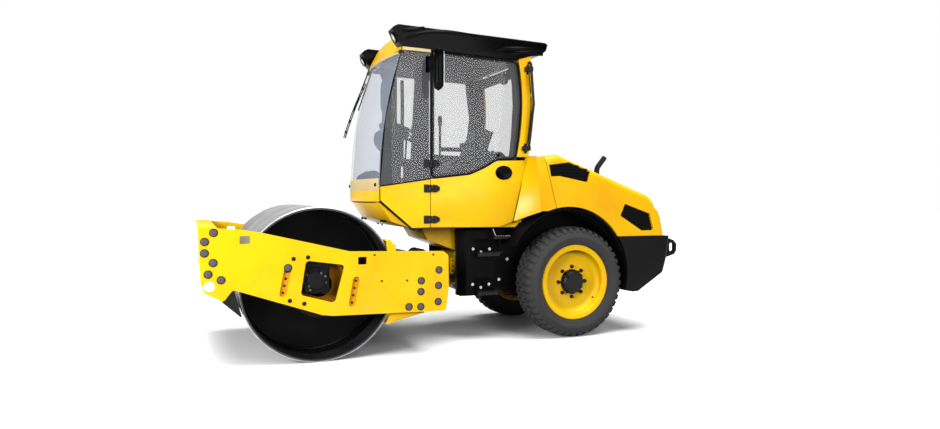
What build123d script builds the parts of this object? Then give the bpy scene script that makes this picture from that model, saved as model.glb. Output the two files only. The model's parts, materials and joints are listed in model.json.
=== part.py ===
from build123d import *
import math
import os

# Articulated single-drum road roller with a cab, in millimetres.
# +X is forward, +Y is the machine's left and +Z is up. The origin is on the ground,
# half way along the machine and on its centre line.

# ---------------------------------------------------------------- driving sizes
# Overall stations along the machine
NOSE_REACH = 885.0            # drum axis to the front face of the drum frame
WHEELBASE = 2372.0            # drum axis to rear axle
TAIL_REACH = 1203.0           # rear axle to the back of the towing lugs
PIVOT_SETBACK = 1240.0        # drum axis to the steering pin

# Drum and its frame
DRUM_RADIUS = 610.0
DRUM_WIDTH = 1686.0
DRUM_SHELL_T = 22.0
DRUM_HEAD_INSET = 430.0       # end of the shell to the outer face of the head
DRUM_HEAD_T = 25.0
DRUM_BOSS_R = 150.0
DRUM_BOSS_T = 60.0
SIDE_GAP = 42.0               # end of the drum to the side plate
PLATE_T = 30.0
PLATE_CORNER = 24.0
TAIL_TO_PIVOT = 190.0         # steering pin to the back edge of the side plates
CARRIER_RADIUS = 250.0
CARRIER_T = 36.0
CARRIER_TUBE_R = 136.0
MOTOR_RADIUS = 110.0
EYE_RADIUS = 38.0             # tie-down eye in each side plate
SCRAPER_T = 12.0

# Articulation and steering
PIVOT_Z = 600.0
PIN_RADIUS = 40.0
BOSS_RADIUS = 75.0
YOKE_HEIGHT = 140.0
EAR_T = 25.0
EAR_GAP = 5.0                 # yoke boss to each frame ear
TRUNNION_RADIUS = 70.0
BEARING_RADIUS = 135.0
YOKE_REACH = 172.0            # steering pin to the front face of the yoke
STEER_ARM = 200.0             # steering pin to the rod's eye, sideways
CYLINDER_LENGTH = 560.0       # between the eyes, straight ahead
BARREL_LENGTH = 379.0         # eye to mouth
BARREL_RADIUS = 40.0
BARREL_BORE_R = 30.0
ROD_RADIUS = 20.0
ROD_LENGTH = 370.0            # rod's eye to the piston's end face
PISTON_LENGTH = 30.0
CYLINDER_EYE_R = 34.0
CYLINDER_PIN_R = 16.0
CYLINDER_EYE_H = 46.0

# Rear frame
MEMBER_OUT = 355.0            # half width over the frame's side members
MEMBER_T = 25.0
MEMBER_TOP = 900.0
MEMBER_BOTTOM = 400.0
MEMBER_BOTTOM_AFT = 640.0
FRAME_FRONT_TO_PIVOT = 210.0
FRAME_REAR_TO_AXLE = 618.0
DECK_T = 20.0
TANK_OUT = 480.0              # half width over the black side boxes
TANK_TOP = 1000.0

# Wheels
TYRE_RADIUS = 511.0
TYRE_WIDTH = 310.0
TYRE_TRACK = 1230.0
RIM_RADIUS = 305.0
RIM_FLANGE_R = 347.0
RIM_HALF_WIDTH = 123.0
DISC_T = 18.0
HUB_RADIUS = 112.0
STUB_RADIUS = 60.0
AXLE_TUBE_R = 80.0
RUNNING_CLEARANCE = 0.05

# Hood, cowl and counterweight
BODY_HALF = 760.0             # half width over hood, cowl and counterweight
PANEL_T = 25.0
ARCH_RADIUS = 642.0
ARCH_AHEAD_OF_AXLE = 82.0
ARCH_ABOVE_AXLE = 60.0
HOOD_GAP = 6.0
HOOD_BOTTOM = 931.0
BALLAST_TOP = 925.0
LINER_GAP = 17.0
LINER_T = 8.0
PIPE_RADIUS = 26.0

# Cab
CAB_HALF = 600.0              # half width over the door skins
CAB_FRONT_HALF = 545.0        # half width at the windscreen's foot
DOOR_T = 35.0
GLASS_T = 8.0
DOOR_HINGE_TO_PIVOT = 240.0
DOOR_GAP = 6.0
DOOR_ROOF_GAP = 8.0           # top of the door's pane to the roof's underside
DOOR_FRAME_W = 34.0
CAB_BOTTOM = 1030.0
FLOOR_T = 36.0
POST_SIZE = 60.0
WINDSCREEN_BULGE = 55.0
ROOF_TOP = 2770.0
ROOF_HALF = 605.0
POD_IN = 478.0                # half width between the roof's two lamp pods
LAMP_RADIUS = 35.0

# Hinges of the doors and the hood
KNUCKLE_RADIUS = 12.0
HINGE_PIN_R = 8.0
DOOR_HINGE_OUT = 12.0         # door skin to the hinge axis
DOOR_HINGE_HEIGHTS = (1103.0, 1372.0, 1589.0)
LEAF_HEIGHT = 70.0
LEAF_T = 6.0
KNUCKLE_GAP = 5.0
HOOD_HINGE_UP = 15.0          # cowl deck to the hood's hinge axis
HOOD_HINGE_Y = 400.0

# ------------------------------------------------------------- derived stations
OVERALL_LENGTH = NOSE_REACH + WHEELBASE + TAIL_REACH
DRUM_X = OVERALL_LENGTH / 2 - NOSE_REACH
DRUM_Z = DRUM_RADIUS
PIVOT_X = DRUM_X - PIVOT_SETBACK
AXLE_X = DRUM_X - WHEELBASE
AXLE_Z = TYRE_RADIUS
TAIL_X = -OVERALL_LENGTH / 2
PLATE_IN = DRUM_WIDTH / 2 + SIDE_GAP
PLATE_OUT = PLATE_IN + PLATE_T
FRAME_FRONT = PIVOT_X - FRAME_FRONT_TO_PIVOT
FRAME_REAR = AXLE_X - FRAME_REAR_TO_AXLE
MEMBER_IN = MEMBER_OUT - MEMBER_T
ARCH_X = AXLE_X + ARCH_AHEAD_OF_AXLE
ARCH_Z = AXLE_Z + ARCH_ABOVE_AXLE
HINGE_X = PIVOT_X + DOOR_HINGE_TO_PIVOT
TYRE_Y = TYRE_TRACK / 2

# The body seam: where the door's back edge meets the cowl, as (behind the hinge, height)
SEAM_LOW = (795.0, 1078.0)
SEAM_HIGH = (932.0, 1650.0)

# Underside of the roof, as (ahead of the hinge, height)
ROOF_UNDERSIDE = [(257.0, 2579.0), (-42.0, 2570.0), (-425.0, 2556.0), (-809.0, 2544.0)]
HINGE_Y = CAB_HALF + DOOR_HINGE_OUT


# ------------------------------------------------------------------ shape tools
def slab(outline, y_from, y_to, corner=0.0):
    """Solid with an XZ outline, between two Y values, its outline's corners rounded."""
    face = make_face(Polyline(*outline, close=True))
    if corner:
        face = fillet(face.vertices(), corner)
    plane = Plane(origin=(0, y_to, 0), x_dir=(1, 0, 0), z_dir=(0, -1, 0))
    return extrude(plane * face, amount=y_to - y_from)


def plate(outline, z_from, z_to, corner=0.0):
    """Solid with an XY outline, between two heights, its outline's corners rounded."""
    face = make_face(Polyline(*outline, close=True))
    if corner:
        face = fillet(face.vertices(), corner)
    return extrude(Pos(0, 0, z_from) * face, amount=z_to - z_from)


def block(x_from, x_to, y_from, y_to, z_from, z_to):
    """Box between two corners."""
    centre = ((x_from + x_to) / 2, (y_from + y_to) / 2, (z_from + z_to) / 2)
    return Pos(*centre) * Box(abs(x_to - x_from), abs(y_to - y_from), abs(z_to - z_from))


def bar(start, end, radius):
    """Round bar between two points."""
    line = Vector(*end) - Vector(*start)
    return extrude(Plane(origin=start, z_dir=line) * Circle(radius), amount=line.length)


def upright(x, y, z_from, z_to, radius):
    """Round bar standing on end."""
    return bar((x, y, z_from), (x, y, z_to), radius)


def turned(profile, x, z):
    """Solid turned about a sideways axis at (x, z) from a profile of (radius, y) points."""
    plane = Plane(origin=(x, 0, z), x_dir=(0, 0, 1), z_dir=(-1, 0, 0))
    face = plane * make_face(Polyline(*profile, close=True))
    return revolve(face, axis=Axis((x, 0, z), (0, 1, 0)), revolution_arc=360)


def mirrored(part):
    """The same piece on the machine's other side."""
    return mirror(part, about=Plane.XZ)


def both_sides(part):
    """A left piece and its mirror image, as one node."""
    return part + mirrored(part)


def from_drum(points):
    """Points given ahead of and above the drum axis, in the machine's own X and Z."""
    return [(DRUM_X + ahead, DRUM_Z + above) for ahead, above in points]


def behind_hinge(points):
    """Points given behind the door hinge and as a height, in the machine's own X and Z."""
    return [(HINGE_X - behind, height) for behind, height in points]


# --------------------------------------------------------------- drum and frame
PLATE_TAIL = PIVOT_SETBACK - TAIL_TO_PIVOT

# Side plate outline, as (ahead of the drum axis, above the drum axis)
PLATE_OUTLINE = [
    (NOSE_REACH, 464), (NOSE_REACH - 12, 139), (NOSE_REACH - 14, 61), (NOSE_REACH - 39, -18),
    (NOSE_REACH - 169, -89), (NOSE_REACH - 237, -1), (-4, -227), (-87, -239),
    (24 - PLATE_TAIL, -254), (-PLATE_TAIL, -84), (4 - PLATE_TAIL, 206), (48 - PLATE_TAIL, 240),
    (-228, 258), (NOSE_REACH - 441, 417), (NOSE_REACH - 293, 442),
]
HUB_WINDOW = [(117, 199), (-185, 154), (-108, -143), (158, -66)]
LAMP_HOLES = [[(600, 396), (524, 396), (524, 336), (600, 336)],
              [(-287, 214), (-359, 214), (-359, 152), (-287, 152)]]
EYE_AT = (NOSE_REACH - 74, 26)


def side_plates():
    """Thick plates of the drum frame, each with hub window, two holes and tie-down eye."""
    body = slab(from_drum(PLATE_OUTLINE), PLATE_IN, PLATE_OUT, PLATE_CORNER)
    body -= slab(from_drum(HUB_WINDOW), PLATE_IN - 1, PLATE_OUT + 1, 30)
    for hole in LAMP_HOLES:
        body -= slab(from_drum(hole), PLATE_IN - 1, PLATE_OUT + 1, 10)
    (eye_x, eye_z), = from_drum([EYE_AT])
    body -= bar((eye_x, PLATE_IN - 1, eye_z), (eye_x, PLATE_OUT + 1, eye_z), EYE_RADIUS)
    return both_sides(body)


def front_crossmember():
    """Hollow box beam across the nose of the drum frame."""
    outline = [(NOSE_REACH, 464), (NOSE_REACH - 12, 139), (720, 172), (712, 400), (760, 464)]
    inner = [(NOSE_REACH - 20, 442), (NOSE_REACH - 32, 162), (741, 190), (733, 394), (769, 442)]
    return (slab(from_drum(outline), -PLATE_IN, PLATE_IN)
            - slab(from_drum(inner), -PLATE_IN - 1, PLATE_IN + 1))


def rear_crossmember():
    """Beam across the back of the drum frame, with the oscillation bearing in its middle."""
    outline = [(-PLATE_TAIL + 12, 160), (-PLATE_TAIL + 12, -180), (-900, -225), (-890, 160)]
    beam = slab(from_drum(outline), -PLATE_IN, PLATE_IN)
    housing_from = DRUM_X - PLATE_TAIL - 12
    housing_to = DRUM_X - 870
    beam += bar((housing_from, 0, PIVOT_Z), (housing_to, 0, PIVOT_Z), BEARING_RADIUS)
    bore = TRUNNION_RADIUS + RUNNING_CLEARANCE
    return beam - bar((housing_from - 1, 0, PIVOT_Z), (housing_to + 1, 0, PIVOT_Z), bore)


HEAD_Y = DRUM_WIDTH / 2 - DRUM_HEAD_INSET


def drum_shell():
    """Smooth rolled steel shell of the drum."""
    inner = DRUM_RADIUS - DRUM_SHELL_T
    half = DRUM_WIDTH / 2
    profile = [(inner, -half), (DRUM_RADIUS, -half), (DRUM_RADIUS, half), (inner, half)]
    return turned(profile, DRUM_X, DRUM_Z)


def drum_heads():
    """Two round plates across the inside of the drum, each with a bored boss."""
    bore = STUB_RADIUS + RUNNING_CLEARANCE
    outer = DRUM_RADIUS - DRUM_SHELL_T
    inner_face = HEAD_Y - DRUM_HEAD_T
    boss_face = HEAD_Y - DRUM_BOSS_T
    head = turned([(bore, boss_face), (DRUM_BOSS_R, boss_face), (DRUM_BOSS_R, inner_face),
                   (outer, inner_face), (outer, HEAD_Y), (bore, HEAD_Y)], DRUM_X, DRUM_Z)
    return both_sides(head)


def drum_carriers():
    """Flange and tube that hold each end of the drum from the side plate."""
    flange_face = PLATE_IN - CARRIER_T
    tube_end = HEAD_Y + 8
    stub_end = HEAD_Y - DRUM_BOSS_T + 4
    carrier = turned([(MOTOR_RADIUS + 1, PLATE_IN), (CARRIER_RADIUS, PLATE_IN),
                      (CARRIER_RADIUS, flange_face), (CARRIER_TUBE_R, flange_face - 30),
                      (CARRIER_TUBE_R, tube_end), (STUB_RADIUS, tube_end),
                      (STUB_RADIUS, stub_end), (0, stub_end), (0, tube_end + 60),
                      (MOTOR_RADIUS + 1, tube_end + 60)], DRUM_X, DRUM_Z)
    return both_sides(carrier)


def drum_motors():
    """Drive motor in each carrier, its round end showing in the hub window."""
    motor = turned([(0, HEAD_Y + 68), (MOTOR_RADIUS, HEAD_Y + 68), (MOTOR_RADIUS, PLATE_IN - 6),
                    (MOTOR_RADIUS - 14, PLATE_IN + 8), (38, PLATE_IN + 8), (34, PLATE_OUT - 6),
                    (0, PLATE_OUT - 6)], DRUM_X, DRUM_Z)
    return both_sides(motor)


# Scrapers, each as its end plate's outline and its blade's line, from the drum axis
FRONT_SCRAPER = ([(745, -65), (690, 30), (640, -10), (583, -208), (712, -93)],
                 [(712, -93), (583, -208)])
REAR_LOW_SCRAPER = ([(-566, -200), (-562, -254), (-526, -334), (-631, -302), (-844, -258), (-800, -200)],
                    [(-524, -334), (-631, -304), (-844, -260)])
REAR_HIGH_SCRAPER = ([(-524, 335), (-553, 346), (-604, 290), (-600, 190), (-540, 190)],
                     [(-524, 335), (-604, 288)])


def scraper(outline, line):
    """Blade across the drum's width, a little clear of it, between two end plates."""
    shifted = []
    for ahead, above in reversed(line):
        grow = 1 + SCRAPER_T / math.hypot(ahead, above)
        shifted.append((ahead * grow, above * grow))
    blade = slab(from_drum(line + shifted), -PLATE_IN + 1, PLATE_IN - 1)
    end = slab(from_drum(outline), PLATE_IN - 18, PLATE_IN)
    return blade + both_sides(end)


def front_scraper():
    """Black scraper below the front of the side plates."""
    return scraper(*FRONT_SCRAPER)


def rear_scrapers():
    """Scrapers behind the drum, one low and one high."""
    return scraper(*REAR_LOW_SCRAPER) + scraper(*REAR_HIGH_SCRAPER)


# ------------------------------------------------------- articulation, steering
def articulation_yoke():
    """Cast link: pin boss between the frame's ears, trunnion forward, rod arm to the left."""
    low = PIVOT_Z - YOKE_HEIGHT / 2
    high = PIVOT_Z + YOKE_HEIGHT / 2
    body = upright(PIVOT_X, 0, low, high, BOSS_RADIUS)
    body += plate([(PIVOT_X, -BOSS_RADIUS), (PIVOT_X + YOKE_REACH - 20, -115),
                   (PIVOT_X + YOKE_REACH, -115), (PIVOT_X + YOKE_REACH, 115),
                   (PIVOT_X + YOKE_REACH - 20, 115), (PIVOT_X, BOSS_RADIUS)], low, high)
    arm = plate([(PIVOT_X - 40, 0), (PIVOT_X - 40, STEER_ARM), (PIVOT_X + 40, STEER_ARM),
                 (PIVOT_X + 70, 0)], PIVOT_Z - 48, PIVOT_Z + 48)
    arm += upright(PIVOT_X, STEER_ARM, PIVOT_Z - 48, PIVOT_Z + 48, 40)
    slot_half = CYLINDER_EYE_H / 2 + 5
    arm -= block(PIVOT_X - 120, PIVOT_X + 120, STEER_ARM - 75, STEER_ARM + 60,
                 PIVOT_Z - slot_half, PIVOT_Z + slot_half)
    body += arm
    trunnion_end = DRUM_X - 878
    body += bar((PIVOT_X + YOKE_REACH - 10, 0, PIVOT_Z), (trunnion_end, 0, PIVOT_Z),
                TRUNNION_RADIUS)
    bore = PIN_RADIUS + RUNNING_CLEARANCE
    return body - upright(PIVOT_X, 0, low - 1, high + 1, bore)


BARREL_EYE_X = PIVOT_X - CYLINDER_LENGTH


def steering_barrel():
    """Barrel of the steering cylinder, with its eye at the back and its bore open in front."""
    mouth = BARREL_EYE_X + BARREL_LENGTH
    half = CYLINDER_EYE_H / 2
    tube = bar((BARREL_EYE_X + CYLINDER_EYE_R + 10, STEER_ARM, PIVOT_Z), (mouth, STEER_ARM, PIVOT_Z),
               BARREL_RADIUS)
    tube += bar((BARREL_EYE_X, STEER_ARM, PIVOT_Z), (BARREL_EYE_X + 60, STEER_ARM, PIVOT_Z), half - 2)
    tube += upright(BARREL_EYE_X, STEER_ARM, PIVOT_Z - half, PIVOT_Z + half, CYLINDER_EYE_R)
    chamber_from = BARREL_EYE_X + CYLINDER_EYE_R + 22
    tube -= bar((chamber_from, STEER_ARM, PIVOT_Z), (mouth - 24, STEER_ARM, PIVOT_Z),
                BARREL_BORE_R + RUNNING_CLEARANCE)
    tube -= bar((mouth - 30, STEER_ARM, PIVOT_Z), (mouth + 1, STEER_ARM, PIVOT_Z),
                ROD_RADIUS + RUNNING_CLEARANCE)
    return tube - upright(BARREL_EYE_X, STEER_ARM, PIVOT_Z - 60, PIVOT_Z + 60,
                          CYLINDER_PIN_R + RUNNING_CLEARANCE)


def steering_rod():
    """Rod of the steering cylinder, with piston, and an eye that fills the yoke's fork."""
    half = CYLINDER_EYE_H / 2
    piston_end = PIVOT_X - ROD_LENGTH
    rod = bar((piston_end, STEER_ARM, PIVOT_Z), (PIVOT_X, STEER_ARM, PIVOT_Z), ROD_RADIUS)
    rod += bar((piston_end, STEER_ARM, PIVOT_Z), (piston_end + PISTON_LENGTH, STEER_ARM, PIVOT_Z),
               BARREL_BORE_R)
    return rod + upright(PIVOT_X, STEER_ARM, PIVOT_Z - half, PIVOT_Z + half, CYLINDER_EYE_R)


# ------------------------------------------------------------------- rear frame
def rear_frame():
    """Welded frame: two side members, front plate with ears and pin, deck, rear mounts."""
    shoulder = AXLE_X + 470
    outline = [(FRAME_FRONT, MEMBER_BOTTOM), (shoulder, MEMBER_BOTTOM),
               (shoulder - 120, MEMBER_BOTTOM_AFT), (FRAME_REAR, MEMBER_BOTTOM_AFT),
               (FRAME_REAR, MEMBER_TOP), (FRAME_FRONT, MEMBER_TOP)]
    frame = both_sides(slab(outline, MEMBER_IN, MEMBER_OUT))
    front_wall = block(FRAME_FRONT - PANEL_T, FRAME_FRONT, -MEMBER_IN, MEMBER_IN,
                       MEMBER_BOTTOM, MEMBER_TOP)
    front_wall -= bar((FRAME_FRONT - PANEL_T - 1, STEER_ARM, PIVOT_Z),
                      (FRAME_FRONT + 1, STEER_ARM, PIVOT_Z), BARREL_RADIUS + 30)
    frame += front_wall
    mid_wall_x = BARREL_EYE_X - 95
    frame += block(mid_wall_x - PANEL_T, mid_wall_x, -MEMBER_IN, MEMBER_IN,
                   MEMBER_BOTTOM, MEMBER_BOTTOM_AFT + DECK_T)
    frame += block(FRAME_REAR, mid_wall_x, -MEMBER_IN, MEMBER_IN,
                   MEMBER_BOTTOM_AFT, MEMBER_BOTTOM_AFT + DECK_T)
    ear_outline = [(FRAME_FRONT, MEMBER_IN), (PIVOT_X - 10, BOSS_RADIUS + 8),
                   (PIVOT_X - 10, -BOSS_RADIUS - 8), (FRAME_FRONT, -MEMBER_IN)]
    ear_low = YOKE_HEIGHT / 2 + EAR_GAP
    for side in (-1, 1):
        z_from = PIVOT_Z + side * ear_low
        z_to = PIVOT_Z + side * (ear_low + EAR_T)
        frame += plate(ear_outline, min(z_from, z_to), max(z_from, z_to))
        frame += upright(PIVOT_X, 0, min(z_from, z_to), max(z_from, z_to), BOSS_RADIUS + 10)
    pin_top = ear_low + EAR_T + 12
    frame += upright(PIVOT_X, 0, PIVOT_Z - pin_top, PIVOT_Z + pin_top, PIN_RADIUS)
    lug_gap = CYLINDER_EYE_H / 2 + EAR_GAP
    for side in (-1, 1):
        z_near = PIVOT_Z + side * lug_gap
        z_far = PIVOT_Z + side * (lug_gap + 14)
        frame += block(mid_wall_x, BARREL_EYE_X + 30, STEER_ARM - 34, STEER_ARM + 34,
                       min(z_near, z_far), max(z_near, z_far))
    frame += upright(BARREL_EYE_X, STEER_ARM, PIVOT_Z - lug_gap - 20, PIVOT_Z + lug_gap + 20,
                     CYLINDER_PIN_R)
    return frame


def rear_axle():
    """Axle tube with its central drive housing, spring seats and a stub at each end."""
    tube_end = TYRE_Y - TYRE_WIDTH / 2 - 40
    brake_end = TYRE_Y - 30
    disc_in = TYRE_Y - DISC_T / 2
    profile = [(0, -150), (0, disc_in + 90), (STUB_RADIUS, disc_in + 90), (STUB_RADIUS, brake_end),
               (150, brake_end), (165, tube_end), (AXLE_TUBE_R + 10, tube_end - 20),
               (AXLE_TUBE_R, 190), (118, 120), (118, 0), (0, 0)]
    half = turned(profile[1:], AXLE_X, AXLE_Z)
    axle = both_sides(half)
    axle += both_sides(block(AXLE_X - 70, AXLE_X + 70, MEMBER_IN - 75, MEMBER_IN,
                             AXLE_Z + 30, MEMBER_BOTTOM_AFT))
    return axle


def engine_block():
    """Plain mass for the engine, on the frame's deck inside the hood."""
    return block(AXLE_X - 500, AXLE_X + 190, -290, 290, MEMBER_BOTTOM_AFT + DECK_T, 1280)


def side_tanks():
    """Black boxes on the frame's sides below the cab, with a step pocket in each."""
    front = PIVOT_X - 82
    rear = AXLE_X + TYRE_RADIUS + 95
    plan = [(front, MEMBER_OUT), (front, MEMBER_OUT + 45), (front - 58, TANK_OUT),
            (rear, TANK_OUT), (rear, MEMBER_OUT)]
    tank = plate(plan, MEMBER_BOTTOM, TANK_TOP)
    for low, high in [(450, 560), (800, 915)]:
        tank -= block(front - 130, rear + 60, TANK_OUT - 70, TANK_OUT + 1, low, high)
    return both_sides(tank - arch_cut(ARCH_RADIUS))


def cab_steps():
    """Three folded step treads below each door."""
    front = PIVOT_X - 225
    rear = AXLE_X + TYRE_RADIUS + 70
    treads = block(front, rear, TANK_OUT, TANK_OUT + 75, MEMBER_BOTTOM + 8, MEMBER_BOTTOM + 36)
    treads += block(front, rear, TANK_OUT, TANK_OUT + 75, 762, 790)
    treads += block(front - 140, rear, TANK_OUT, TANK_OUT + 105, 918, 940)
    return both_sides(treads - arch_cut(ARCH_RADIUS))


# ----------------------------------------------------------------------- wheels
def tyre():
    """Left tyre: a ring seated on the rim, with bulged sides and a crowned tread."""
    half = TYRE_WIDTH / 2
    seat = RIM_HALF_WIDTH - 11
    right = [(RIM_RADIUS, seat), (RIM_FLANGE_R + 2, seat), (RIM_FLANGE_R + 18, half - 18),
             (TYRE_RADIUS - 85, half), (TYRE_RADIUS - 22, half - 14), (TYRE_RADIUS - 3, half - 50),
             (TYRE_RADIUS, 0)]
    left = [(radius, -across) for radius, across in reversed(right[:-1])]
    return turned([(radius, TYRE_Y + across) for radius, across in right + left], AXLE_X, AXLE_Z)


def rim():
    """Left rim: barrel with two flanges, and a dished disc bored for the stub."""
    wall = 14
    flange_in = RIM_HALF_WIDTH - 11
    barrel = turned([(RIM_RADIUS - wall, TYRE_Y - RIM_HALF_WIDTH), (RIM_FLANGE_R, TYRE_Y - RIM_HALF_WIDTH),
                     (RIM_FLANGE_R, TYRE_Y - flange_in), (RIM_RADIUS, TYRE_Y - flange_in),
                     (RIM_RADIUS, TYRE_Y + flange_in), (RIM_FLANGE_R, TYRE_Y + flange_in),
                     (RIM_FLANGE_R, TYRE_Y + RIM_HALF_WIDTH), (RIM_RADIUS - wall, TYRE_Y + RIM_HALF_WIDTH)],
                    AXLE_X, AXLE_Z)
    bore = STUB_RADIUS + RUNNING_CLEARANCE
    half = DISC_T / 2
    disc = turned([(bore, TYRE_Y - half), (190, TYRE_Y - half), (230, TYRE_Y + 22),
                   (RIM_RADIUS - wall, TYRE_Y + 34), (RIM_RADIUS - wall, TYRE_Y + 34 + DISC_T),
                   (222, TYRE_Y + 22 + DISC_T), (184, TYRE_Y + half), (bore, TYRE_Y + half)],
                  AXLE_X, AXLE_Z)
    return barrel + disc


def hub():
    """Left hub: black final-drive cover bolted to the rim's disc."""
    base = TYRE_Y + DISC_T / 2
    bore = STUB_RADIUS + RUNNING_CLEARANCE
    face = TYRE_Y + 96
    return turned([(bore, base), (HUB_RADIUS + 52, base), (HUB_RADIUS + 50, base + 12),
                   (HUB_RADIUS, base + 14), (HUB_RADIUS - 6, face - 14), (HUB_RADIUS - 22, face),
                   (0, face), (0, face - 14), (bore, face - 14)], AXLE_X, AXLE_Z)


# ----------------------------------------------------- hood, cowl, counterweight
HOOD_FRONT_TOP = (ARCH_X + 256, 1665.0)
HOOD_FRONT_LOW = (ARCH_X + 131, 1205.0)
HOOD_PEAK = (ARCH_X + 119, 1690.0)

# Rear slope and tail of the hood, as (behind the rear axle, height)
HOOD_TAIL = [(803, 1318), (830, 1296), (862, 1200), (900, 1172), (930, 1110), (970, HOOD_BOTTOM)]

# Air inlets in each hood side, as (behind the rear axle, height)
HOOD_INLETS = [
    [(-298, 1592), (-82, 1622), (143, 1547), (113, 1437), (-191, 1492), (-276, 1486)],
    [(523, 1239), (811, 1143), (858, 982), (718, 980), (473, 1125)],
]


def hood_hinge_x():
    """X of the hood's hinge axis, just ahead of the hood's front edge."""
    return HOOD_FRONT_TOP[0] + HOOD_GAP + 3


def hood_hinge_z():
    """Height of the hood's hinge axis."""
    return HOOD_FRONT_TOP[1] + HOOD_HINGE_UP


def hood_barrel(y_from, y_to, radius):
    """Round bar on the hood's hinge axis."""
    x, z = hood_hinge_x(), hood_hinge_z()
    return bar((x, y_from, z), (x, y_to, z), radius)


def hood_hinge_seats():
    """Pin and two fixed knuckles of each hood hinge, on the cowl's deck."""
    x, deck = hood_hinge_x(), HOOD_FRONT_TOP[1]
    foot = [(x, deck - 1), (x + 32, deck - 1), (x + 14, deck + 18), (x, deck + 18)]
    near = 20 + KNUCKLE_GAP
    seats = hood_barrel(HOOD_HINGE_Y - near - 20, HOOD_HINGE_Y + near + 20, HINGE_PIN_R)
    for inner, outer in [(near, near + 20), (-near - 20, -near)]:
        seats += slab(foot, HOOD_HINGE_Y + inner, HOOD_HINGE_Y + outer)
        seats += hood_barrel(HOOD_HINGE_Y + inner, HOOD_HINGE_Y + outer, KNUCKLE_RADIUS)
    return both_sides(seats)


def arch_cut(radius):
    """Cylinder across the machine that clears the rear wheels."""
    return bar((ARCH_X, -BODY_HALF - 50, ARCH_Z), (ARCH_X, BODY_HALF + 50, ARCH_Z), radius)


def hood_cavity():
    """Space inside the hood, open below and in front."""
    inner_tail = [(AXLE_X - behind + PANEL_T, height - PANEL_T) for behind, height in HOOD_TAIL[:-1]]
    front = HOOD_FRONT_TOP[0] + 60
    inner = [(front, HOOD_FRONT_TOP[1] - PANEL_T), (HOOD_PEAK[0], HOOD_PEAK[1] - PANEL_T), *inner_tail,
             (AXLE_X - HOOD_TAIL[-1][0] + PANEL_T, HOOD_BOTTOM - 50), (front, HOOD_BOTTOM - 50)]
    return slab(inner, -BODY_HALF + PANEL_T, BODY_HALF - PANEL_T)


def hood():
    """One-piece hood, open below and in front, with wheel arches and four inlets."""
    tail = [(AXLE_X - behind, height) for behind, height in HOOD_TAIL]
    outline = [HOOD_FRONT_TOP, HOOD_PEAK, *tail, (HOOD_FRONT_LOW[0], HOOD_BOTTOM), HOOD_FRONT_LOW]
    shell = slab(outline, -BODY_HALF, BODY_HALF)
    top_edges = [edge for edge in shell.edges().filter_by(GeomType.LINE)
                 if abs(edge.center().Y) > BODY_HALF - 1 and edge.center().Z > 1300
                 and abs(edge.tangent_at(0.5).X) > 0.7]
    shell = fillet(top_edges, 55)
    shell -= hood_cavity()
    shell -= arch_cut(ARCH_RADIUS)
    pipe_x, pipe_y, pipe_z = exhaust_foot()
    shell -= upright(pipe_x, pipe_y, pipe_z - 80, pipe_z + 80, PIPE_RADIUS)
    for inlet in HOOD_INLETS:
        points = [(AXLE_X - behind, height) for behind, height in inlet]
        opening = slab(points, BODY_HALF - PANEL_T - 1, BODY_HALF + 1, 12)
        shell -= opening
        shell -= mirrored(opening)
    strap = slab([(hood_hinge_x(), hood_hinge_z() - 5), (hood_hinge_x() - 100, hood_hinge_z() - 5),
                  (hood_hinge_x() - 100, hood_hinge_z() + 10), (hood_hinge_x(), hood_hinge_z() + 10)],
                 HOOD_HINGE_Y - 20, HOOD_HINGE_Y + 20)
    strap += hood_barrel(HOOD_HINGE_Y - 20, HOOD_HINGE_Y + 20, KNUCKLE_RADIUS)
    strap -= hood_barrel(HOOD_HINGE_Y - 21, HOOD_HINGE_Y + 21, HINGE_PIN_R + RUNNING_CLEARANCE)
    return shell + both_sides(strap)


def hood_grilles():
    """Black grille panel behind each of the hood's inlets."""
    panels = []
    for inlet in HOOD_INLETS:
        centre_x = sum(point[0] for point in inlet) / len(inlet)
        centre_z = sum(point[1] for point in inlet) / len(inlet)
        grown = [(AXLE_X - centre_x - (behind - centre_x) * 1.08,
                  centre_z + (height - centre_z) * 1.1) for behind, height in inlet]
        inside = BODY_HALF - PANEL_T
        panel = slab(grown, inside - 12, inside) & hood_cavity()
        panels.append(both_sides(panel - arch_cut(ARCH_RADIUS)))
    return panels[0] + panels[1]


def exhaust_foot():
    """Where the exhaust pipe passes through the hood's rear slope."""
    x = AXLE_X - 405
    drop = (HOOD_PEAK[1] - HOOD_TAIL[0][1]) / (HOOD_PEAK[0] - AXLE_X + HOOD_TAIL[0][0])
    return x, 450.0, HOOD_PEAK[1] - (HOOD_PEAK[0] - x) * drop


def exhaust_pipe():
    """Exhaust tail pipe on the hood's left, bent backwards at its tip."""
    x, y, slope_z = exhaust_foot()
    path = FilletPolyline((x, y, slope_z - 40), (x, y, slope_z + 120), (x - 90, y, slope_z + 228),
                          radius=90)
    section = Plane(origin=(x, y, slope_z - 40), z_dir=(0, 0, 1)) * Circle(PIPE_RADIUS)
    pipe = sweep(section, path=path)
    end = path @ 1
    back = end - (path % 1) * 90
    return pipe - bar(tuple(end), tuple(back), PIPE_RADIUS - 5)


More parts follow.
